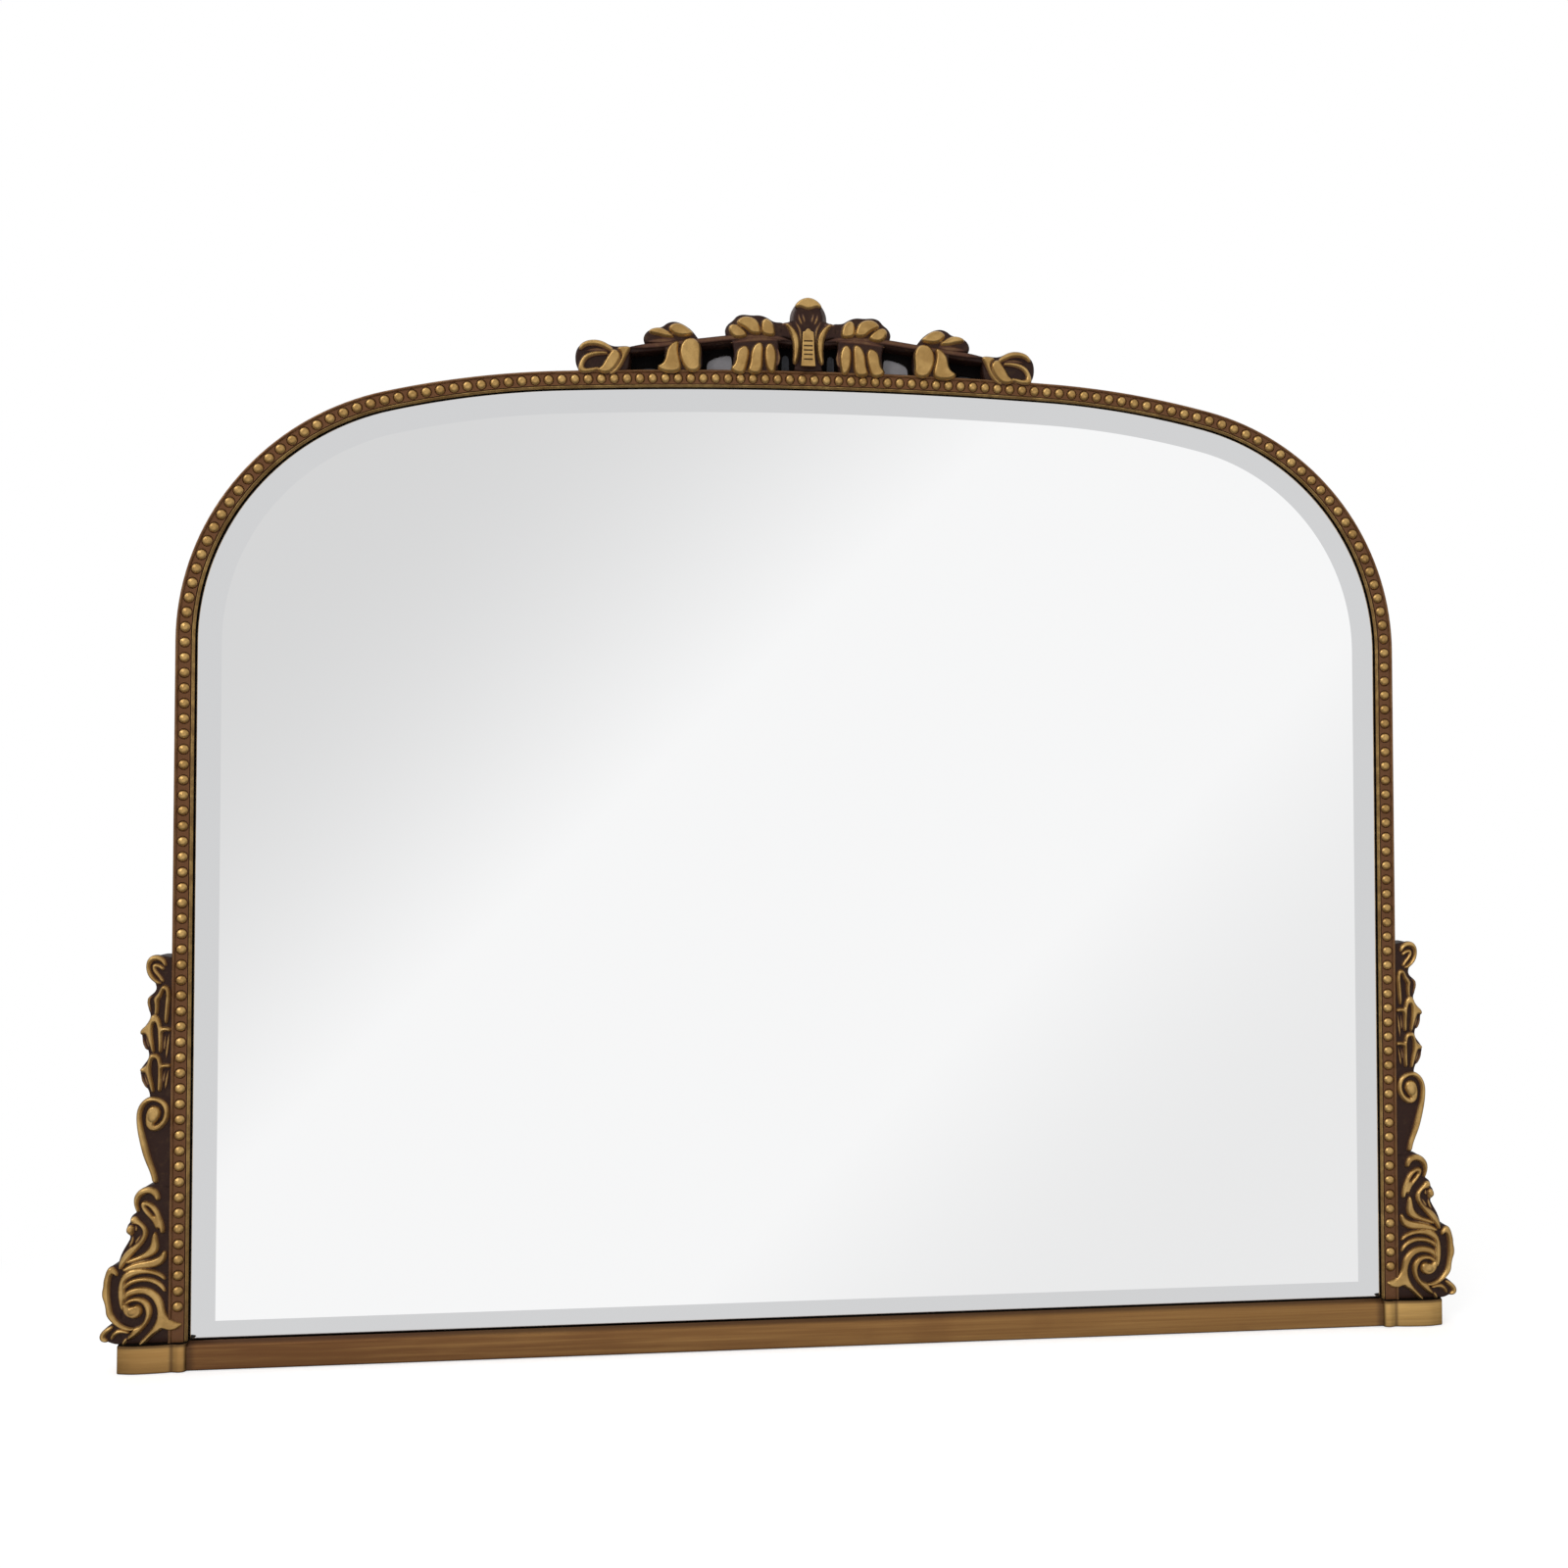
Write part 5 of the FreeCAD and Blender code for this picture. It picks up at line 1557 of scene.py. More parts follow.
ACANTHUS = Carving(
    "acanthus_carving",
    (((550, 25), (550, 25), (550, 90), (550, 163), (550, 163), (565, 163.5), (574, 160.5), (580, 156.5),
      (582.7, 150), (582, 143), (580.8, 138), (584, 136.8), (586.3, 133), (586, 130.3), (588.8, 127.3),
      (588.8, 122.5), (585.3, 117.7), (588, 112.5), (592.5, 105), (595.3, 97), (596, 90), (596.5, 60),
      (596, 45), (595.5, 25), (595.5, 25)),),
    SIDE_LOW,
    (
        Pad(((478, 1118), (440, 1097), (400, 1087), (350, 1084), (300, 1096), (260, 1120), (226, 1155),
             (206, 1190), (196, 1225), (190, 1262), (176, 1300), (150, 1335), (118, 1358), (75, 1372),
             (60, 1380), (74, 1402), (100, 1416), (130, 1423), (165, 1420), (188, 1408), (212, 1406),
             (218, 1418), (240, 1430), (265, 1447), (292, 1472), (318, 1500), (345, 1526), (366, 1536),
             (376, 1522), (350, 1490), (327, 1464), (302, 1438), (274, 1403), (254, 1366), (241, 1330),
             (237, 1290), (241, 1250), (254, 1211), (277, 1172), (311, 1144), (350, 1130), (400, 1132),
             (440, 1144), (468, 1166), (482, 1188), (490, 1150))),
        Pad(((458, 1486), (440, 1480), (405, 1460), (372, 1430), (340, 1398), (310, 1358), (291, 1316),
             (283, 1275), (288, 1238), (304, 1205), (335, 1178), (372, 1164), (412, 1163), (452, 1174),
             (482, 1194), (494, 1222), (474, 1219), (450, 1200), (420, 1190), (388, 1190), (357, 1204),
             (338, 1228), (325, 1262), (323, 1296), (330, 1330), (347, 1360), (371, 1384), (400, 1394),
             (418, 1402), (427, 1427), (442, 1448), (460, 1468))),
        Pad(((356, 1262), (363, 1237), (384, 1221), (408, 1222), (424, 1236), (446, 1238), (464, 1224),
             (482, 1208), (497, 1222), (496, 1246), (487, 1277), (466, 1302), (436, 1318), (402, 1320),
             (373, 1304), (358, 1283)), 4.2),
        Pad(((183, 1028), (196, 998), (231, 973), (282, 953), (335, 943), (400, 940), (450, 949), (489, 973),
             (515, 1012), (528, 1060), (533, 1115), (529, 1180), (515, 1240), (494, 1264), (491, 1210),
             (486, 1170), (485, 1120), (490, 1072), (487, 1038), (450, 1006), (410, 987), (360, 976),
             (310, 977), (262, 988), (221, 1006), (196, 1026))),
        Pad(((182, 1120), (194, 1084), (224, 1049), (270, 1021), (330, 1008), (400, 1014), (450, 1030),
             (489, 1056), (491, 1100), (461, 1069), (410, 1046), (350, 1037), (300, 1043), (253, 1063),
             (218, 1090), (193, 1121)), 3.4),
        Pad(((184, 812), (204, 814), (215, 837), (241, 858), (282, 874), (330, 882), (390, 891), (440, 906),
             (485, 930), (507, 950), (482, 960), (440, 947), (390, 938), (335, 934), (285, 932), (241, 922),
             (206, 902), (188, 873), (180, 842))),
        Pad(((262, 662), (277, 675), (286, 705), (290, 744), (304, 781), (329, 811), (362, 834), (402, 850),
             (445, 864), (480, 886), (470, 897), (430, 887), (385, 874), (340, 860), (297, 846), (262, 827),
             (243, 801), (238, 768), (244, 730), (250, 692))),
        Pad(((400, 543), (425, 538), (444, 551), (446, 573), (431, 590), (406, 592), (380, 604), (359, 630),
             (353, 656), (359, 690), (375, 721), (398, 746), (426, 766), (457, 788), (487, 819), (510, 854),
             (526, 894), (532, 930), (520, 944), (507, 927), (486, 893), (458, 861), (426, 825), (393, 788),
             (360, 750), (336, 713), (322, 681), (322, 649), (336, 618), (361, 590), (387, 566))),
        Pad(((440, 603), (463, 610), (477, 632), (474, 656), (456, 674), (438, 682), (429, 668), (428, 640),
             (426, 617)), 3.6),
        Pad(((198, 660), (199, 625), (208, 585), (224, 540), (244, 491), (271, 456), (305, 432), (342, 418),
             (368, 429), (371, 453), (356, 484), (336, 514), (310, 542), (286, 570), (268, 602), (258, 632),
             (245, 634), (245, 600), (257, 565), (279, 536), (307, 506), (329, 480), (340, 458), (337, 448),
             (317, 454), (292, 478), (270, 511), (252, 551), (240, 590), (230, 630), (224, 660), (210, 670))),
        Pad(((234, 405), (236, 370), (253, 335), (285, 318), (330, 312), (373, 328), (404, 355), (422, 392),
             (422, 435), (410, 476), (398, 502), (385, 492), (394, 455), (395, 426), (387, 397), (364, 371),
             (330, 354), (297, 359), (274, 378), (262, 403), (250, 414))),
        Pad(((466, 1476), (486, 1483), (500, 1510), (498, 1532), (485, 1528), (476, 1504)), 3.0),
    ),
    (
        Strand(((300, 866, 0.5), (350, 879, 0.6), (410, 891, 0.6), (460, 909, 0.5)), 2.0),
        Strand(((434, 680, 0.7), (430, 704, 0.9), (440, 738, 0.9), (462, 776, 0.7)), 1.9),
        Strand(((372, 680, 0.7), (392, 712, 0.9), (416, 748, 0.7)), 1.9),
        Strand(((412, 604, 0.6), (405, 628, 0.8), (412, 652, 0.6)), 1.8),
    ),
    (
        Boss(424, 1268, 5.2, 4.4, 0.0, 4.9),
        Boss(452, 642, 2.6, 2.8, 0.0, 4.3),
        Boss(422, 564, 2.6, 2.2, 0.0, 4.3),
    ),
)

OUTER_LEAF = Carving(
    "outer_leaf_carving",
    (((590, 42), (590, 42), (590, 92), (590, 92), (597, 94.5), (602.3, 92.5), (605.3, 86.5), (605.7, 82.5),
      (607.3, 79), (606.3, 74.5), (607.4, 69), (605.8, 63), (605, 57), (602.7, 51), (599, 45), (595, 42)),),
    SIDE_LOW,
    (
        Pad(((403, 1400), (440, 1398), (482, 1384), (521, 1358), (553, 1321), (574, 1287), (587, 1240),
             (595, 1195), (601, 1150), (602, 1100), (601, 1055), (596, 1012), (588, 984), (575, 971),
             (560, 979), (549, 994), (538, 980), (550, 946), (575, 922), (602, 926), (620, 951), (632, 992),
             (642, 1032), (643, 1075), (652, 1112), (650, 1152), (634, 1192), (624, 1240), (621, 1285),
             (602, 1320), (571, 1354), (530, 1387), (480, 1410), (430, 1418))),
    ),
    faces=30000,
)

CLAW = Carving(
    "claw_carving",
    (((590, 25.3), (590, 25.3), (590, 44), (590, 44), (598, 44), (603.8, 41.5), (608.5, 36.8), (609.4, 33),
      (606.2, 29), (601, 26.6), (597, 25.3)),),
    SIDE_LOW,
    (
        Pad(((450, 1428), (480, 1409), (515, 1405), (549, 1413), (576, 1438), (589, 1468), (583, 1483),
             (569, 1464), (547, 1441), (515, 1431), (480, 1433), (462, 1438)), 3.4),
        Pad(((570, 1380), (590, 1383), (623, 1397), (657, 1428), (670, 1460), (657, 1490), (625, 1499),
             (609, 1489), (630, 1469), (633, 1452), (618, 1432), (593, 1411)), 3.6),
    ),
    faces=20000,
)


@dataclass
class SideOrnament:
    """Palmette, volute, acanthus, outer leaf and claw beside each stile."""

    carvings: dict[str, Carving] = field(default_factory=lambda: {
        "palmette": PALMETTE, "volute": VOLUTE, "acanthus": ACANTHUS, "outer_leaf": OUTER_LEAF, "claw": CLAW,
    })

    def build(self, finishes: Finishes) -> None:
        """Carve both ornaments and dress them."""
        dress_carvings(self.carvings, finishes["scroll_gilding"])


# Drawings of the crest, right of the middle.


def crest_piece(
    name: str,
    plates: tuple[Section, ...],
    pads: tuple[Pad, ...],
    strands: tuple[Strand, ...],
    **more: object,
) -> Carving:
    """Carving with the depths of the crest; more holds the fields that differ from them."""
    usual = {
        "sheet": CREST_SHEET, "ground": -7.0, "back": 24.0, "edge": 2.2, "shift": (1.75, -2.1),
        "voxel": 0.65, "spread": 1.3, "reach": 2.8,
    }
    return Carving(name, plates, pads=pads, strands=strands, **{**usual, **more})


INNER_LEAVES = crest_piece(
    "inner_leaf_cluster",
    (((28, 886.5), (40, 885.5), (55, 885), (67, 886.5), (69.5, 890), (67, 896), (66, 905), (67, 912),
      (69.5, 917), (73.5, 921), (74.8, 926), (72, 931.5), (67, 935), (64, 939.3), (58, 941.3), (50, 940.3),
      (42, 941), (35, 938.5), (29.5, 934.5), (20, 935), (19, 927), (20, 920.5), (25.5, 919), (25, 910),
      (25.5, 898), (26.5, 889)),),
    (
        Pad(((1280, 312), (1288, 288), (1315, 281), (1346, 293), (1382, 322), (1404, 350), (1387, 365),
             (1350, 373), (1316, 367), (1292, 344)), 4.4),
        Pad(((1336, 262), (1356, 238), (1390, 223), (1426, 225), (1462, 238), (1483, 261), (1498, 300),
             (1503, 338), (1470, 342), (1438, 335), (1408, 308), (1378, 288), (1349, 278)), 4.6),
        Pad(((1517, 325), (1517, 280), (1523, 248), (1545, 232), (1572, 247), (1593, 273), (1604, 310),
             (1604, 349), (1570, 350), (1532, 342)), 4.4),
        Pad(((1402, 436), (1374, 442), (1347, 463), (1335, 500), (1332, 540), (1322, 573), (1296, 598),
             (1308, 621), (1345, 635), (1378, 633), (1393, 602), (1403, 560), (1415, 510), (1418, 468)), 4.4),
        Pad(((1502, 408), (1474, 422), (1452, 453), (1440, 500), (1437, 550), (1427, 590), (1416, 617),
             (1445, 632), (1482, 634), (1503, 617), (1513, 580), (1515, 520), (1517, 460), (1515, 422)), 4.6),
        Pad(((1567, 414), (1548, 438), (1542, 490), (1547, 542), (1558, 593), (1580, 622), (1601, 618),
             (1608, 580), (1615, 530), (1615, 480), (1603, 443), (1587, 418)), 4.4),
    ),
    (
        Strand(((1290, 410, 1.0), (1380, 390, 1.6), (1470, 378, 1.7), (1560, 374, 1.6),
                (1650, 380, 1.0)), 1.1),
        Strand(((1630, 440, 1.0), (1640, 500, 1.4), (1628, 570, 1.0)), 1.4),
    ),
)

MIDDLE_LEAVES = crest_piece(
    "middle_leaf_cluster",
    (((99, 887), (114, 886), (127, 885), (134.5, 887.8), (135, 891.5), (129.5, 895), (128, 905), (131, 910.5),
      (140, 911), (147, 911.3), (148.5, 916), (146, 922), (139.5, 925.8), (131, 927), (127, 931), (120, 933),
      (112, 930.5), (104, 925), (99.3, 918.5), (95.8, 914), (95, 905), (95.5, 895)),),
    (
        Pad(((702, 346), (729, 330), (775, 323), (816, 337), (852, 360), (874, 379), (850, 384), (809, 379),
             (764, 365), (724, 361)), 4.4),
        Pad(((845, 322), (860, 300), (895, 286), (936, 294), (974, 320), (1013, 352), (989, 367), (940, 371),
             (902, 367), (870, 351)), 4.6),
        Pad(((908, 416), (879, 427), (856, 448), (835, 479), (827, 520), (819, 558), (797, 587), (768, 601),
             (773, 619), (799, 633), (840, 641), (882, 639), (915, 628), (925, 600), (918, 560), (908, 520),
             (901, 480), (904, 448)), 4.6),
        Pad(((985, 395), (958, 408), (937, 439), (927, 480), (929, 522), (943, 567), (963, 603), (984, 623),
             (1020, 631), (1053, 618), (1065, 590), (1060, 560), (1063, 520), (1067, 470), (1058, 432),
             (1031, 402), (1005, 393)), 4.6),
    ),
    (
        Strand(((690, 420, 1.2), (760, 410, 1.8), (830, 404, 1.9), (890, 394, 1.4)), 1.2),
    ),
)

END_LEAVES = crest_piece(
    "end_leaf_cluster",
    (((162, 884), (172, 882), (186, 881.5), (197, 883.5), (206, 885.5), (209, 892), (209, 902),
      (205.5, 908.5), (199, 912.6), (191, 914.3), (183, 912), (175, 908), (166, 909), (160, 909),
      (160, 897)),),
    (
        Pad(((200, 490), (210, 459), (239, 436), (280, 423), (329, 421), (376, 435), (416, 460), (443, 484),
             (431, 503), (401, 487), (363, 467), (318, 456), (268, 459), (237, 471), (217, 491)), 4.0),
        Pad(((240, 533), (220, 555), (203, 592), (195, 631), (206, 657), (240, 663), (291, 653), (342, 634),
             (338, 616), (290, 626), (251, 632), (231, 624), (231, 600), (244, 572), (269, 547), (310, 531),
             (360, 523), (400, 522), (400, 506), (350, 502), (300, 507), (261, 520)), 3.8),
        Pad(((441, 487), (418, 520), (398, 550), (382, 580), (367, 608), (341, 627), (331, 643), (360, 658),
             (395, 662), (431, 647), (460, 616), (482, 580), (496, 545), (492, 513), (470, 492)), 4.6),
        Pad(((470, 478), (500, 465), (557, 463), (563, 476), (548, 506), (529, 546), (513, 581), (497, 613),
             (470, 644), (437, 663), (414, 664), (446, 642), (472, 606), (493, 570), (505, 540), (503, 511),
             (488, 493)), 4.0),
    ),
    (
        Strand(((235, 502, 0.8), (300, 486, 1.0), (360, 490, 1.0), (405, 504, 0.8)), 1.6),
    ),
    ground=-6.6,
    spread=0.8,
)

STEM = crest_piece(
    "crest_stem_carving",
    (((166, 908), (150, 909.8), (131, 912), (97, 916.6), (68, 921), (40, 922.8), (22, 921.5), (11, 919),
      (11, 913.5), (22, 915.5), (40, 916.8), (68, 915), (97, 910.6), (131, 906), (150, 903.8), (166, 902)),),
    (),
    (
        Strand(((520, 470, 1.6), (640, 454, 2.2), (792, 437, 2.4), (1064, 402, 2.5), (1296, 368, 2.5),
                (1520, 354, 2.4), (1664, 364, 2.1), (1736, 382, 1.6)), 2.5),
    ),
    ground=-5.6,
    edge=1.6,
    voxel=0.9,
    faces=30000,
)

FINIAL = crest_piece(
    "finial_carving",
    (
        ((-13.5, 889), (13.5, 889), (12.5, 893), (11.6, 899), (11.2, 908), (12.4, 915), (16, 919.5),
         (21, 920.5), (29, 921), (29, 932.5), (24, 933.2), (19, 935), (14, 937.5), (-14, 937.5), (-19, 935),
         (-24, 933.2), (-29, 932.5), (-29, 921), (-21, 920.5), (-16, 919.5), (-12.4, 915), (-11.2, 908),
         (-11.6, 899), (-12.5, 893)),
        ((-11, 925), (11, 925), (13.4, 933), (13.6, 941), (11.6, 948), (7.4, 953.6), (2.6, 956.4),
         (-2.6, 956.4), (-7.4, 953.6), (-11.6, 948), (-13.6, 941), (-13.4, 933)),
    ),
    (
        Pad(((1058, 496), (1020, 512), (983, 543), (952, 589), (927, 640), (911, 700), (908, 770), (916, 842),
             (931, 902), (953, 964), (972, 948), (966, 880), (964, 800), (969, 720), (982, 651), (1004, 592),
             (1034, 532), (1054, 510)), 4.2),
        Pad(((652, 276), (668, 246), (700, 214), (748, 186), (800, 177), (852, 186), (900, 214), (932, 246),
             (948, 276), (905, 268), (866, 276), (830, 292), (800, 298), (770, 292), (734, 276),
             (695, 268)), 3.4),
    ),
    (
        Strand(((914, 360, 0.6), (905, 420, 1.0), (874, 490, 0.7)), 1.5),
        Strand(((866, 350, 0.5), (856, 400, 0.8), (840, 460, 0.6)), 1.3),
        Strand(((955, 450, 0.7), (912, 520, 1.0), (890, 590, 0.9), (888, 720, 0.8), (894, 900, 0.7)), 1.5),
        Strand(((1120, 496, 0.9), (1090, 490, 1.2), (1040, 484, 1.2), (990, 492, 0.8)), 1.2),
    ),
    shift=(0.0, -2.1),
    faces=60000,
    both_sides=True,
    sheet=FINIAL_SHEET,
)

# The dome behind the finial, drawn in the frame.
DOME: Section = (
    (-14, 918), (14, 918), (16.6, 930), (17.2, 938), (16.4, 945), (13.0, 951.6), (8.0, 956.2), (2.8, 958.2),
    (-2.8, 958.2), (-8.0, 956.2), (-13.0, 951.6), (-16.4, 945), (-17.2, 938), (-16.6, 930),
)


@dataclass(frozen=True)
class Web:
    """Painted shade: a dark sheet behind the openings of the crest, standing in for the shadow and the shaded
    background seen through them: the right one's outlines, Y of its faces, and finish.
    """

    name: str
    rings: tuple[Section, ...]
    back: float
    front: float
    finish: str


# The front one is painted shadow and leaves a window under it, through which the two behind it show as
# painted shade.
SHADE_SHEETS: tuple[Web, ...] = (
    Web(
        "crest_web_front_{}",
        (
            ((164, 880), (164, 906), (128, 912), (128, 884), (136.5, 884), (136.8, 893.6), (142, 894.6),
             (149, 894.2), (155, 892), (155.5, 880)),
            ((99, 884), (99, 918), (64, 921), (64, 884), (68.5, 884), (68.6, 906.5), (71, 908), (75.5, 907.8),
             (81.3, 906.2), (86.8, 904), (91, 901), (91.8, 896), (91.8, 884)),
            ((29, 885), (29, 919), (9, 919), (9, 885), (15.8, 885), (15.8, 906), (17.4, 909.6), (20.4, 909.8),
             (22.4, 907.6), (22.6, 900), (22.6, 885)),
        ),
        10.0, 8.0, "shade_sheet_black",
    ),
    Web(
        "crest_web_back_{}",
        (((60, 884), (98, 884), (98, 912), (60, 914)),),
        13.4, 10.4, "shade_sheet_grey",
    ),
    Web(
        "crest_web_shaded_{}",
        (
            ((9, 884), (40, 884), (40, 917), (9, 917)),
            ((124, 880), (164, 878), (164, 904), (124, 908)),
        ),
        13.4, 10.4, "web_shade",
    ),
)


@dataclass
class Crest:
    """Finial, tongue, stems and leaf clusters over the crown of the arch, in millimetres."""

    carvings: dict[str, Carving] = field(default_factory=lambda: {
        "crest_leaf_inner": INNER_LEAVES, "crest_leaf_middle": MIDDLE_LEAVES, "crest_leaf_end": END_LEAVES,
        "crest_stem": STEM,
    })
    webs: tuple[Web, ...] = SHADE_SHEETS
    web_edge: float = 0.3
    dome: Section = DOME
    dome_depth: Span = (22.0, -4.4)
    dome_edge: float = 3.6
    dome_sharp: float = 50.0
    # The tongue's outline right of the middle, Y of its back, how far it stands up, and its notches.
    tongue: Section = (
        (0.0, 925.0), (1.3, 924.3), (2.6, 922.6), (4.9, 921.6), (5.3, 917.0), (5.4, 909.0), (5.9, 899.0),
        (6.7, 890.0),
    )
    tongue_back: float = -10.4
    tongue_rise: float = 3.1
    tongue_edge: float = 0.7
    notches: tuple[float, ...] = (913.2, 908.8, 904.8, 900.8, 896.4)
    notch_radius: float = 0.8
    notch_length: float = 8.2
    notch_depth: float = -13.6

    def build(self, finishes: Finishes) -> None:
        """Carve the pieces, mirror those of the right side and dress them all."""
        dress_carvings(self.carvings, finishes["crest_gilding"])
        self.build_finial(finishes)
        self.build_tongue(finishes)
        self.build_webs(finishes)

    def build_finial(self, finishes: Finishes) -> None:
        """Finial, with its wider dome behind the carved front."""
        front = FINIAL.make()
        dome = FINIAL.make_slab(self.dome, *self.dome_depth, self.dome_edge)
        dome.data.transform(moved(0.0, 0.0, FINIAL.shift[1]))
        smooth(dome, self.dome_sharp)
        front.name = "finial_front"
        dome.name = dome.data.name = "finial_dome"
        fit_out(front, "crest_finial", [finishes["crest_gilding"]])
        fit_out(dome, "crest_finial", [finishes["dome_brown"]])

    def build_tongue(self, finishes: Finishes) -> None:
        """Ribbed tongue of the finial: a plate with notches cut across it."""
        ring = [*self.tongue, *((-x, z) for x, z in reversed(self.tongue[1:]))]
        tongue = outline_face((Vector((x, self.tongue_back, z)) for x, z in ring), "ribbed_tongue")
        extrude(tongue, 0.0, -self.tongue_rise, 0.0)
        apply_modifier(tongue, "BEVEL", width=self.tongue_edge * MM, segments=3, limit_method="ANGLE")
        for z in self.notches:
            put_down()
            bpy.ops.mesh.primitive_cylinder_add(
                vertices=12,
                radius=self.notch_radius * MM,
                depth=self.notch_length * MM,
                location=(0.0, self.notch_depth * MM, z * MM),
                rotation=(0.0, math.pi / 2, 0.0),
            )
            cutter = bpy.context.object
            apply_modifier(tongue, "BOOLEAN", operation="DIFFERENCE", object=cutter, solver="EXACT")
            bpy.data.objects.remove(cutter)
        smooth(seal(tongue))
        fit_out(tongue, "crest_tongue", [finishes["tongue_gilding"]])

    def build_webs(self, finishes: Finishes) -> None:
        """Painted shade: dark sheets behind the openings between the stems and the arch, standing in for
        their shadow.
        """
        across, up = STEM.shift
        for shade_sheet in self.webs:
            slabs = [STEM.make_slab(ring, shade_sheet.back, shade_sheet.front, self.web_edge) for ring in shade_sheet.rings]
            right = weld(slabs, shade_sheet.name.format(Side.RIGHT.value))
            right.data.transform(moved(across, 0.0, up))
            smooth(right)
            finish = finishes[shade_sheet.finish]
            fit_out_pair(right, Side.RIGHT, shade_sheet.name, "crest_stem_{}", [finish])


# Back side and fittings: the CAD nodes that stay.


@dataclass
class BackAndFittings:
    """CAD nodes that stay, by their finishes."""

    nodes_in: dict[str, tuple[str, ...]] = field(default_factory=lambda: {
        "backing_paint": ("mirror_coating",),
        "packing_foam": ("packing_sheet",),
        "setting_felt": ("setting_pads",),
        "birch_plywood": ("back_panel",),
        "zinc_plate": ("panel_screws", "crest_plates", "crest_screws"),
        "beech_dowel": (
            "foot_dowels", "spring_dowels", "rail_dowels", "carving_pins_left", "carving_pins_right",
        ),
        "brass_plating": (
            "hanger_strap_left", "hanger_strap_right", "hanger_screws",
            "hanger_ring_left", "hanger_ring_right",
        ),
        "black_rubber": ("wall_bumpers",),
    })

    def build(self, finishes: Finishes) -> None:
        """Give each node its material."""
        for name, nodes in self.nodes_in.items():
            for node in nodes:
                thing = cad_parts[node]
                if not thing.material_slots:
                    thing.data.materials.append(None)
                for slot in thing.material_slots:
                    slot.material = finishes[name]
                LOG.info("%s: %s", node, name)


# Studio round the mirror.


@dataclass(frozen=True)
class Patch:
    """Soft rectangle of directions before the mirror: on each side, where it begins and where it is full."""

    left: Span
    right: Span
    low: Span
    high: Span

    def mask(self, bench: NodeBench, across: object, up: object) -> bpy.types.NodeSocket:
        """How far a direction lies in the patch.

        Args:
            bench: bench on the world's tree.
            across: how far the direction goes to the right for each step ahead.
            up: how far it goes up.

        Returns:
            0 outside, 1 inside.
        """
        wide = bench.math("MULTIPLY", bench.ramp(across, *self.left), bench.ramp(across, *self.right))
        tall = bench.math("MULTIPLY", bench.ramp(up, *self.low), bench.ramp(up, *self.high))
        return bench.math("MULTIPLY", wide, tall)


@dataclass(frozen=True)
class Lamp:
    """Square soft lamp: its place and size in metres, and its power in watts."""

    name: str
    place: Colour
    size: float
    power: float


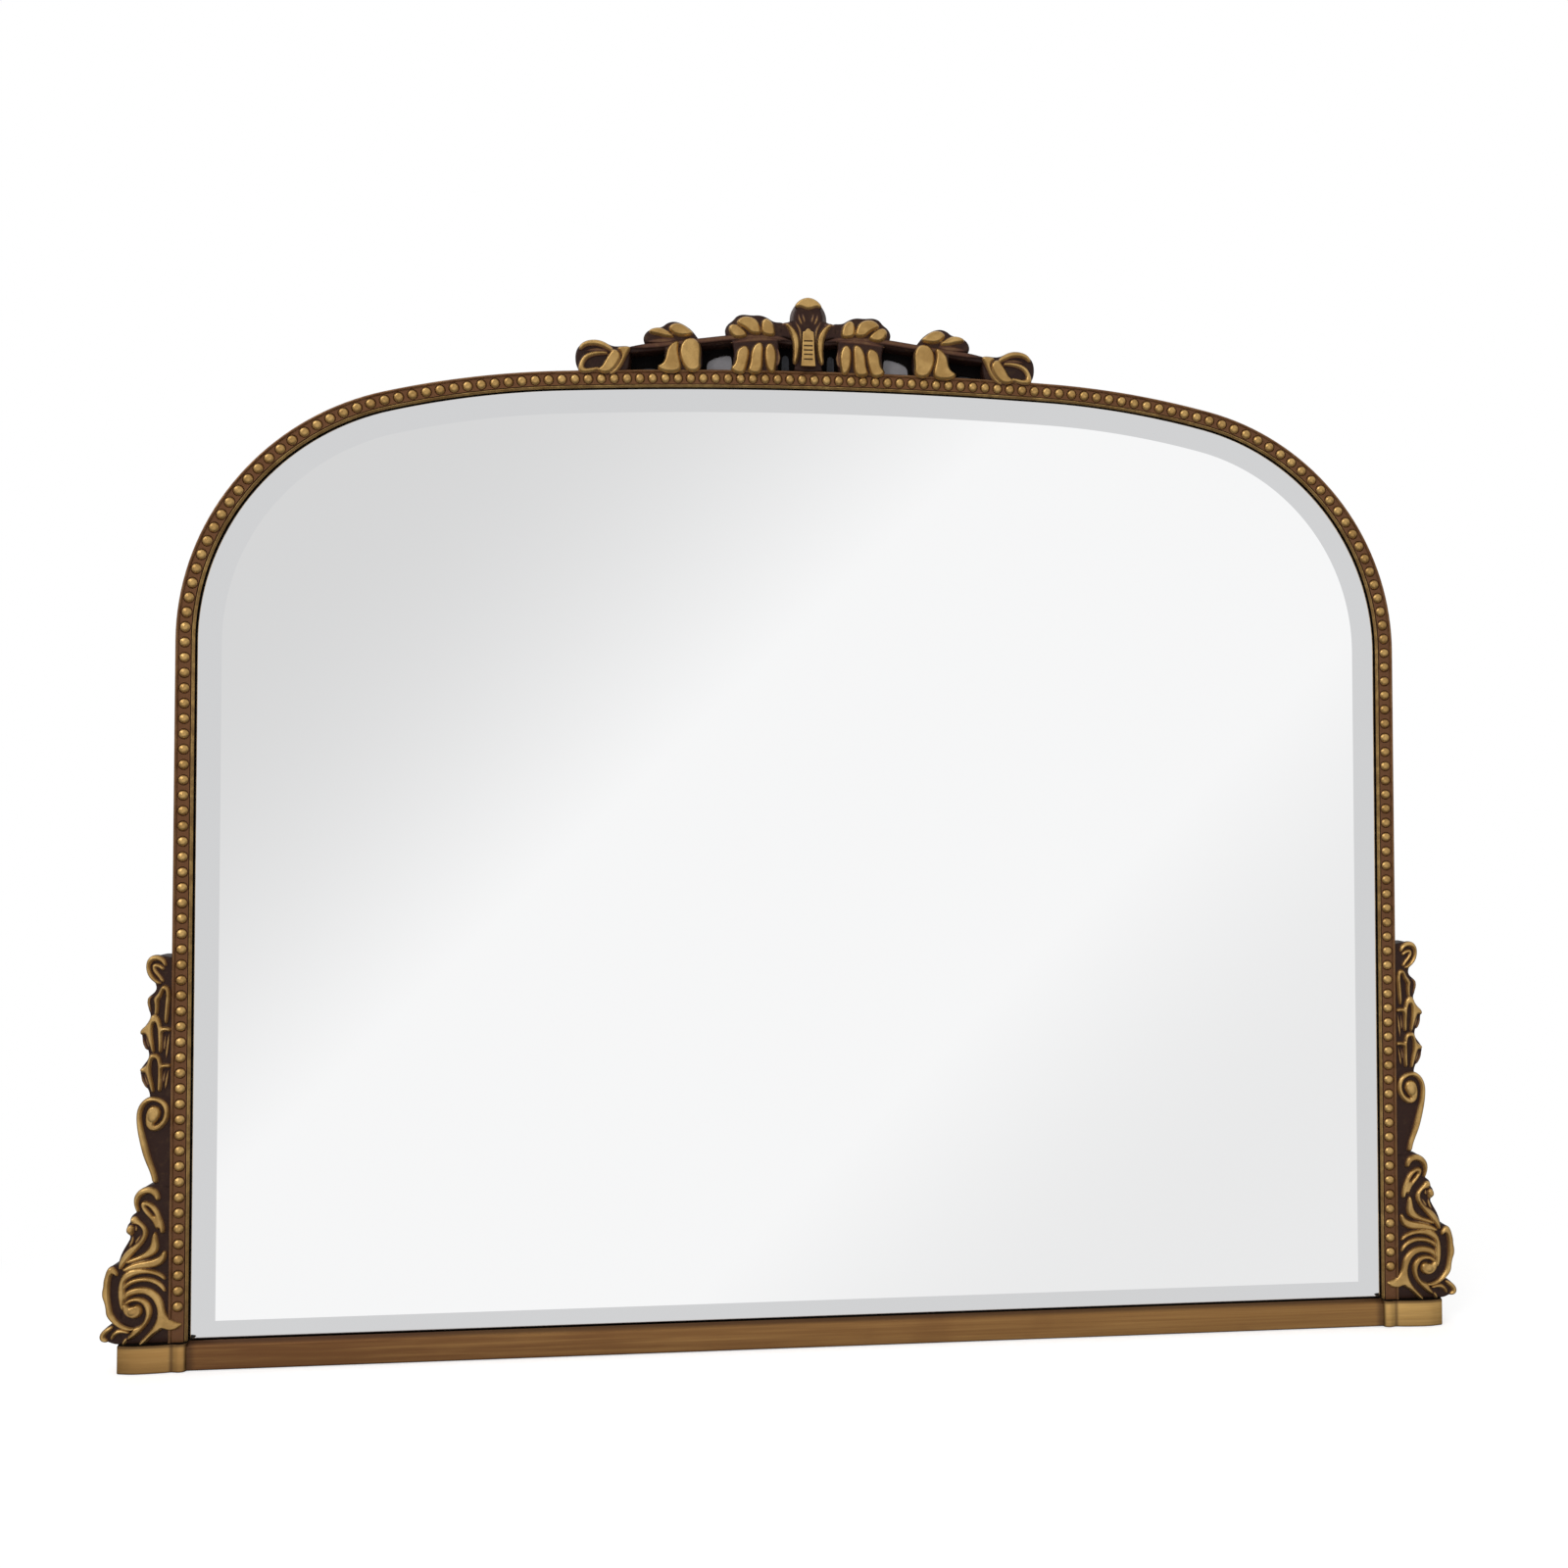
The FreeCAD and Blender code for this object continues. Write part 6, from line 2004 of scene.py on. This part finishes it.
@dataclass
class Studio:
    """Camera, floor, lamps and surroundings, in metres and degrees."""

    camera_place: Colour = (-0.02668, -1.13867, 0.48357)
    camera_turn: Colour = (91.2513, 0.0987, -4.748)
    camera_shift: float = -0.0625
    lens: float = 28.4625
    sensor: float = 36.0
    nearest: float = 0.01
    # Brightness of what the glass shows from its upper left to its lower right, and how that slant runs.
    sweep: tuple[float, ...] = (
        0.725, 0.725, 0.76, 0.84, 0.95, 1.05, 1.10, 1.08, 1.015, 0.95, 0.90, 0.88, 0.88,
    )
    sweep_ends: Span = (0.48, -0.55)
    slant: Span = (-0.69, 0.705)
    # What the face of the glass shows, and what its bevel shows round that.
    face_patch: Patch = Patch((-0.56, -0.50), (0.58, 0.52), (-0.50, -0.42), (0.47, 0.40))
    bevel_patch: Patch = Patch((-1.5, -0.9), (1.5, 0.9), (-1.2, -0.8), (1.2, 0.8))
    bevel_grey: Colour = (0.688, 0.690752, 0.696256)
    # Window of the room behind the camera, which the gold shows as a gloss.
    window_way: Colour = (-0.66, -0.42, 0.62)
    soft_light: float = 0.55
    floor_radius: float = 7.0
    floor_drop: float = 0.0004
    floor_glow: float = 0.42
    lamps: tuple[Lamp, ...] = (
        Lamp("key_lamp", (-1.6, -1.9, 2.0), 1.6, 26.0),
        Lamp("fill_lamp", (1.9, -1.6, 1.2), 1.8, 9.0),
    )
    lamp_target: Colour = (0.0, 0.0, 0.45)

    def make_camera(self) -> None:
        """Camera at the photograph's viewing angle."""
        put_down()
        turn = tuple(math.radians(angle) for angle in self.camera_turn)
        bpy.ops.object.camera_add(location=self.camera_place, rotation=turn)
        camera = bpy.context.object
        camera.data.lens = self.lens
        camera.data.sensor_width = self.sensor
        camera.data.shift_x = self.camera_shift
        camera.data.clip_start = self.nearest
        bpy.context.scene.camera = camera

    def add_sweep(self, bench: NodeBench, across: object, up: object) -> bpy.types.NodeSocket:
        """Broad sweep of light that the face of the glass shows.

        Args:
            bench: bench on the world's tree.
            across: how far a direction goes to the right for each step ahead.
            up: how far it goes up.

        Returns:
            Its colour.
        """
        slant = bench.math(
            "ADD", bench.math("MULTIPLY", across, self.slant[0]), bench.math("MULTIPLY", up, self.slant[1])
        )
        first, last = self.sweep_ends
        share = bench.put("MapRange", {"Value": slant, "From Min": last, "From Max": first}).outputs["Result"]
        ramp = bench.put("ValToRGB", {0: share})
        ramp.color_ramp.interpolation = "B_SPLINE"
        steps = self.sweep[::-1]
        while len(ramp.color_ramp.elements) < len(steps):
            ramp.color_ramp.elements.new(0.5)
        for index, (element, value) in enumerate(zip(ramp.color_ramp.elements, steps)):
            element.position = index / (len(steps) - 1)
            element.color = (value, value, value, 1.0)
        return ramp.outputs[0]

    def add_room(self, bench: NodeBench, way: bpy.types.NodeOutputs) -> bpy.types.NodeSocket:
        """Dim room that gold and metal show, lighter above, with one window.

        Args:
            bench: bench on the world's tree.
            way: X, Y and Z of the direction.

        Returns:
            Its brightness.
        """
        x, y, z = (bench.math("MULTIPLY", way[index], self.window_way[index]) for index in range(3))
        window = bench.ramp(bench.math("ADD", x, bench.math("ADD", y, z)), 0.90, 0.985, end=2.6)
        return bench.math("ADD", bench.ramp(way[2], -0.7, 0.8, 0.16, 0.85), window)

    def make_world(self) -> None:
        """White surroundings, soft light, and a broad sweep of light for the glass to show."""
        world = bpy.data.worlds.new("studio")
        bpy.context.scene.world = world
        world.use_nodes = True
        world.node_tree.nodes.clear()
        bench = NodeBench(world.node_tree)
        way = bench.put("SeparateXYZ", {0: bench.put("TexCoord").outputs["Generated"]}).outputs
        ahead = bench.math("MAXIMUM", bench.math("MULTIPLY", way[1], -1.0), 0.05)
        across = bench.math("DIVIDE", way[0], ahead)
        up = bench.math("DIVIDE", way[2], ahead)
        grey = bench.mix(self.bevel_patch.mask(bench, across, up), self.add_room(bench, way), self.bevel_grey)
        face = self.face_patch.mask(bench, across, up)
        shown = bench.mix(face, grey, self.add_sweep(bench, across, up))
        rays = bench.put("LightPath").outputs
        glossy = bench.put("Background", {"Color": shown, "Strength": 1.0}).outputs[0]
        soft = bench.put("Background", {"Color": (1.0, 1.0, 1.0), "Strength": self.soft_light}).outputs[0]
        white = bench.put("Background", {"Color": (1.0, 1.0, 1.0), "Strength": 1.0}).outputs[0]
        light = bench.put("MixShader", {0: rays["Is Glossy Ray"], 1: soft, 2: glossy}).outputs[0]
        seen = bench.math("MAXIMUM", rays["Is Camera Ray"], rays["Is Transmission Ray"])
        whole = bench.put("MixShader", {0: seen, 1: light, 2: white}).outputs[0]
        bench.put("OutputWorld", {"Surface": whole})

    def make_floor(self) -> None:
        """Pale floor that runs out into white."""
        put_down()
        bpy.ops.mesh.primitive_circle_add(
            vertices=96, radius=self.floor_radius, fill_type="NGON", location=(0.0, 0.0, -self.floor_drop)
        )
        floor = bpy.context.object
        floor.name = "studio_floor"
        floor.visible_glossy = False
        material, bench, shader = new_material("pale_floor")
        place = bench.place()
        speck = bench.noise(place, Grain(40.0))
        bench.feed(shader, {
            "Base Color": bench.mix(speck, (0.93, 0.93, 0.93), (0.95, 0.95, 0.95)),
            "Roughness": 0.8,
            "Specular IOR Level": 0.1,
        })
        # The floor is white to the camera further out, and keeps the mirror's shadow nearby.
        stretched = bench.packed(place, (0.55, 1.0, 1.0))
        far = bench.put("VectorMath", {0: stretched}, operation="LENGTH").outputs["Value"]
        white = bench.put("Emission", {"Color": (1.0, 1.0, 1.0), "Strength": 1.0}).outputs[0]
        glow = bench.put("Emission", {"Color": (1.0, 1.0, 1.0), "Strength": self.floor_glow}).outputs[0]
        lit = bench.put("AddShader", {0: shader.outputs[0], 1: glow}).outputs[0]
        seen = bench.put("MixShader", {0: bench.ramp(far, 0.22, 0.55), 1: lit, 2: white}).outputs[0]
        camera_ray = bench.put("LightPath").outputs["Is Camera Ray"]
        whole = bench.put("MixShader", {0: camera_ray, 1: shader.outputs[0], 2: seen}).outputs[0]
        surface = next(node for node in material.node_tree.nodes if node.type == "OUTPUT_MATERIAL")
        bench.feed(surface, {"Surface": whole})
        floor.data.materials.append(material)

    def make_lamps(self) -> None:
        """Large soft lamp at the upper left and a weaker one at the right."""
        for lamp in self.lamps:
            put_down()
            way = Vector(self.lamp_target) - Vector(lamp.place)
            turn = way.to_track_quat("-Z", "Y").to_euler()
            bpy.ops.object.light_add(type="AREA", location=lamp.place, rotation=turn)
            light = bpy.context.object
            light.name = lamp.name
            light.data.size = lamp.size
            light.data.energy = lamp.power
            light.visible_glossy = False
            light.visible_camera = False

    def build(self) -> None:
        """Set up the whole studio."""
        bpy.context.scene.view_settings.view_transform = "Standard"
        self.make_camera()
        self.make_world()
        self.make_floor()
        self.make_lamps()
        LOG.info("studio ready")


def main() -> None:
    """Build the mirror from the frame outwards."""
    logging.basicConfig(level=logging.INFO, format="%(name)s: %(message)s")
    finishes = Finishes()
    finishes.make()
    Studio().build()
    assemblies = (Moulding, BeadStrings, Rail, EndBlocks, Glass, SideOrnament, Crest, BackAndFittings)
    for assembly in assemblies:
        assembly().build(finishes)
        LOG.info("%s done", assembly.__name__)


if __name__ == "__main__":
    main()
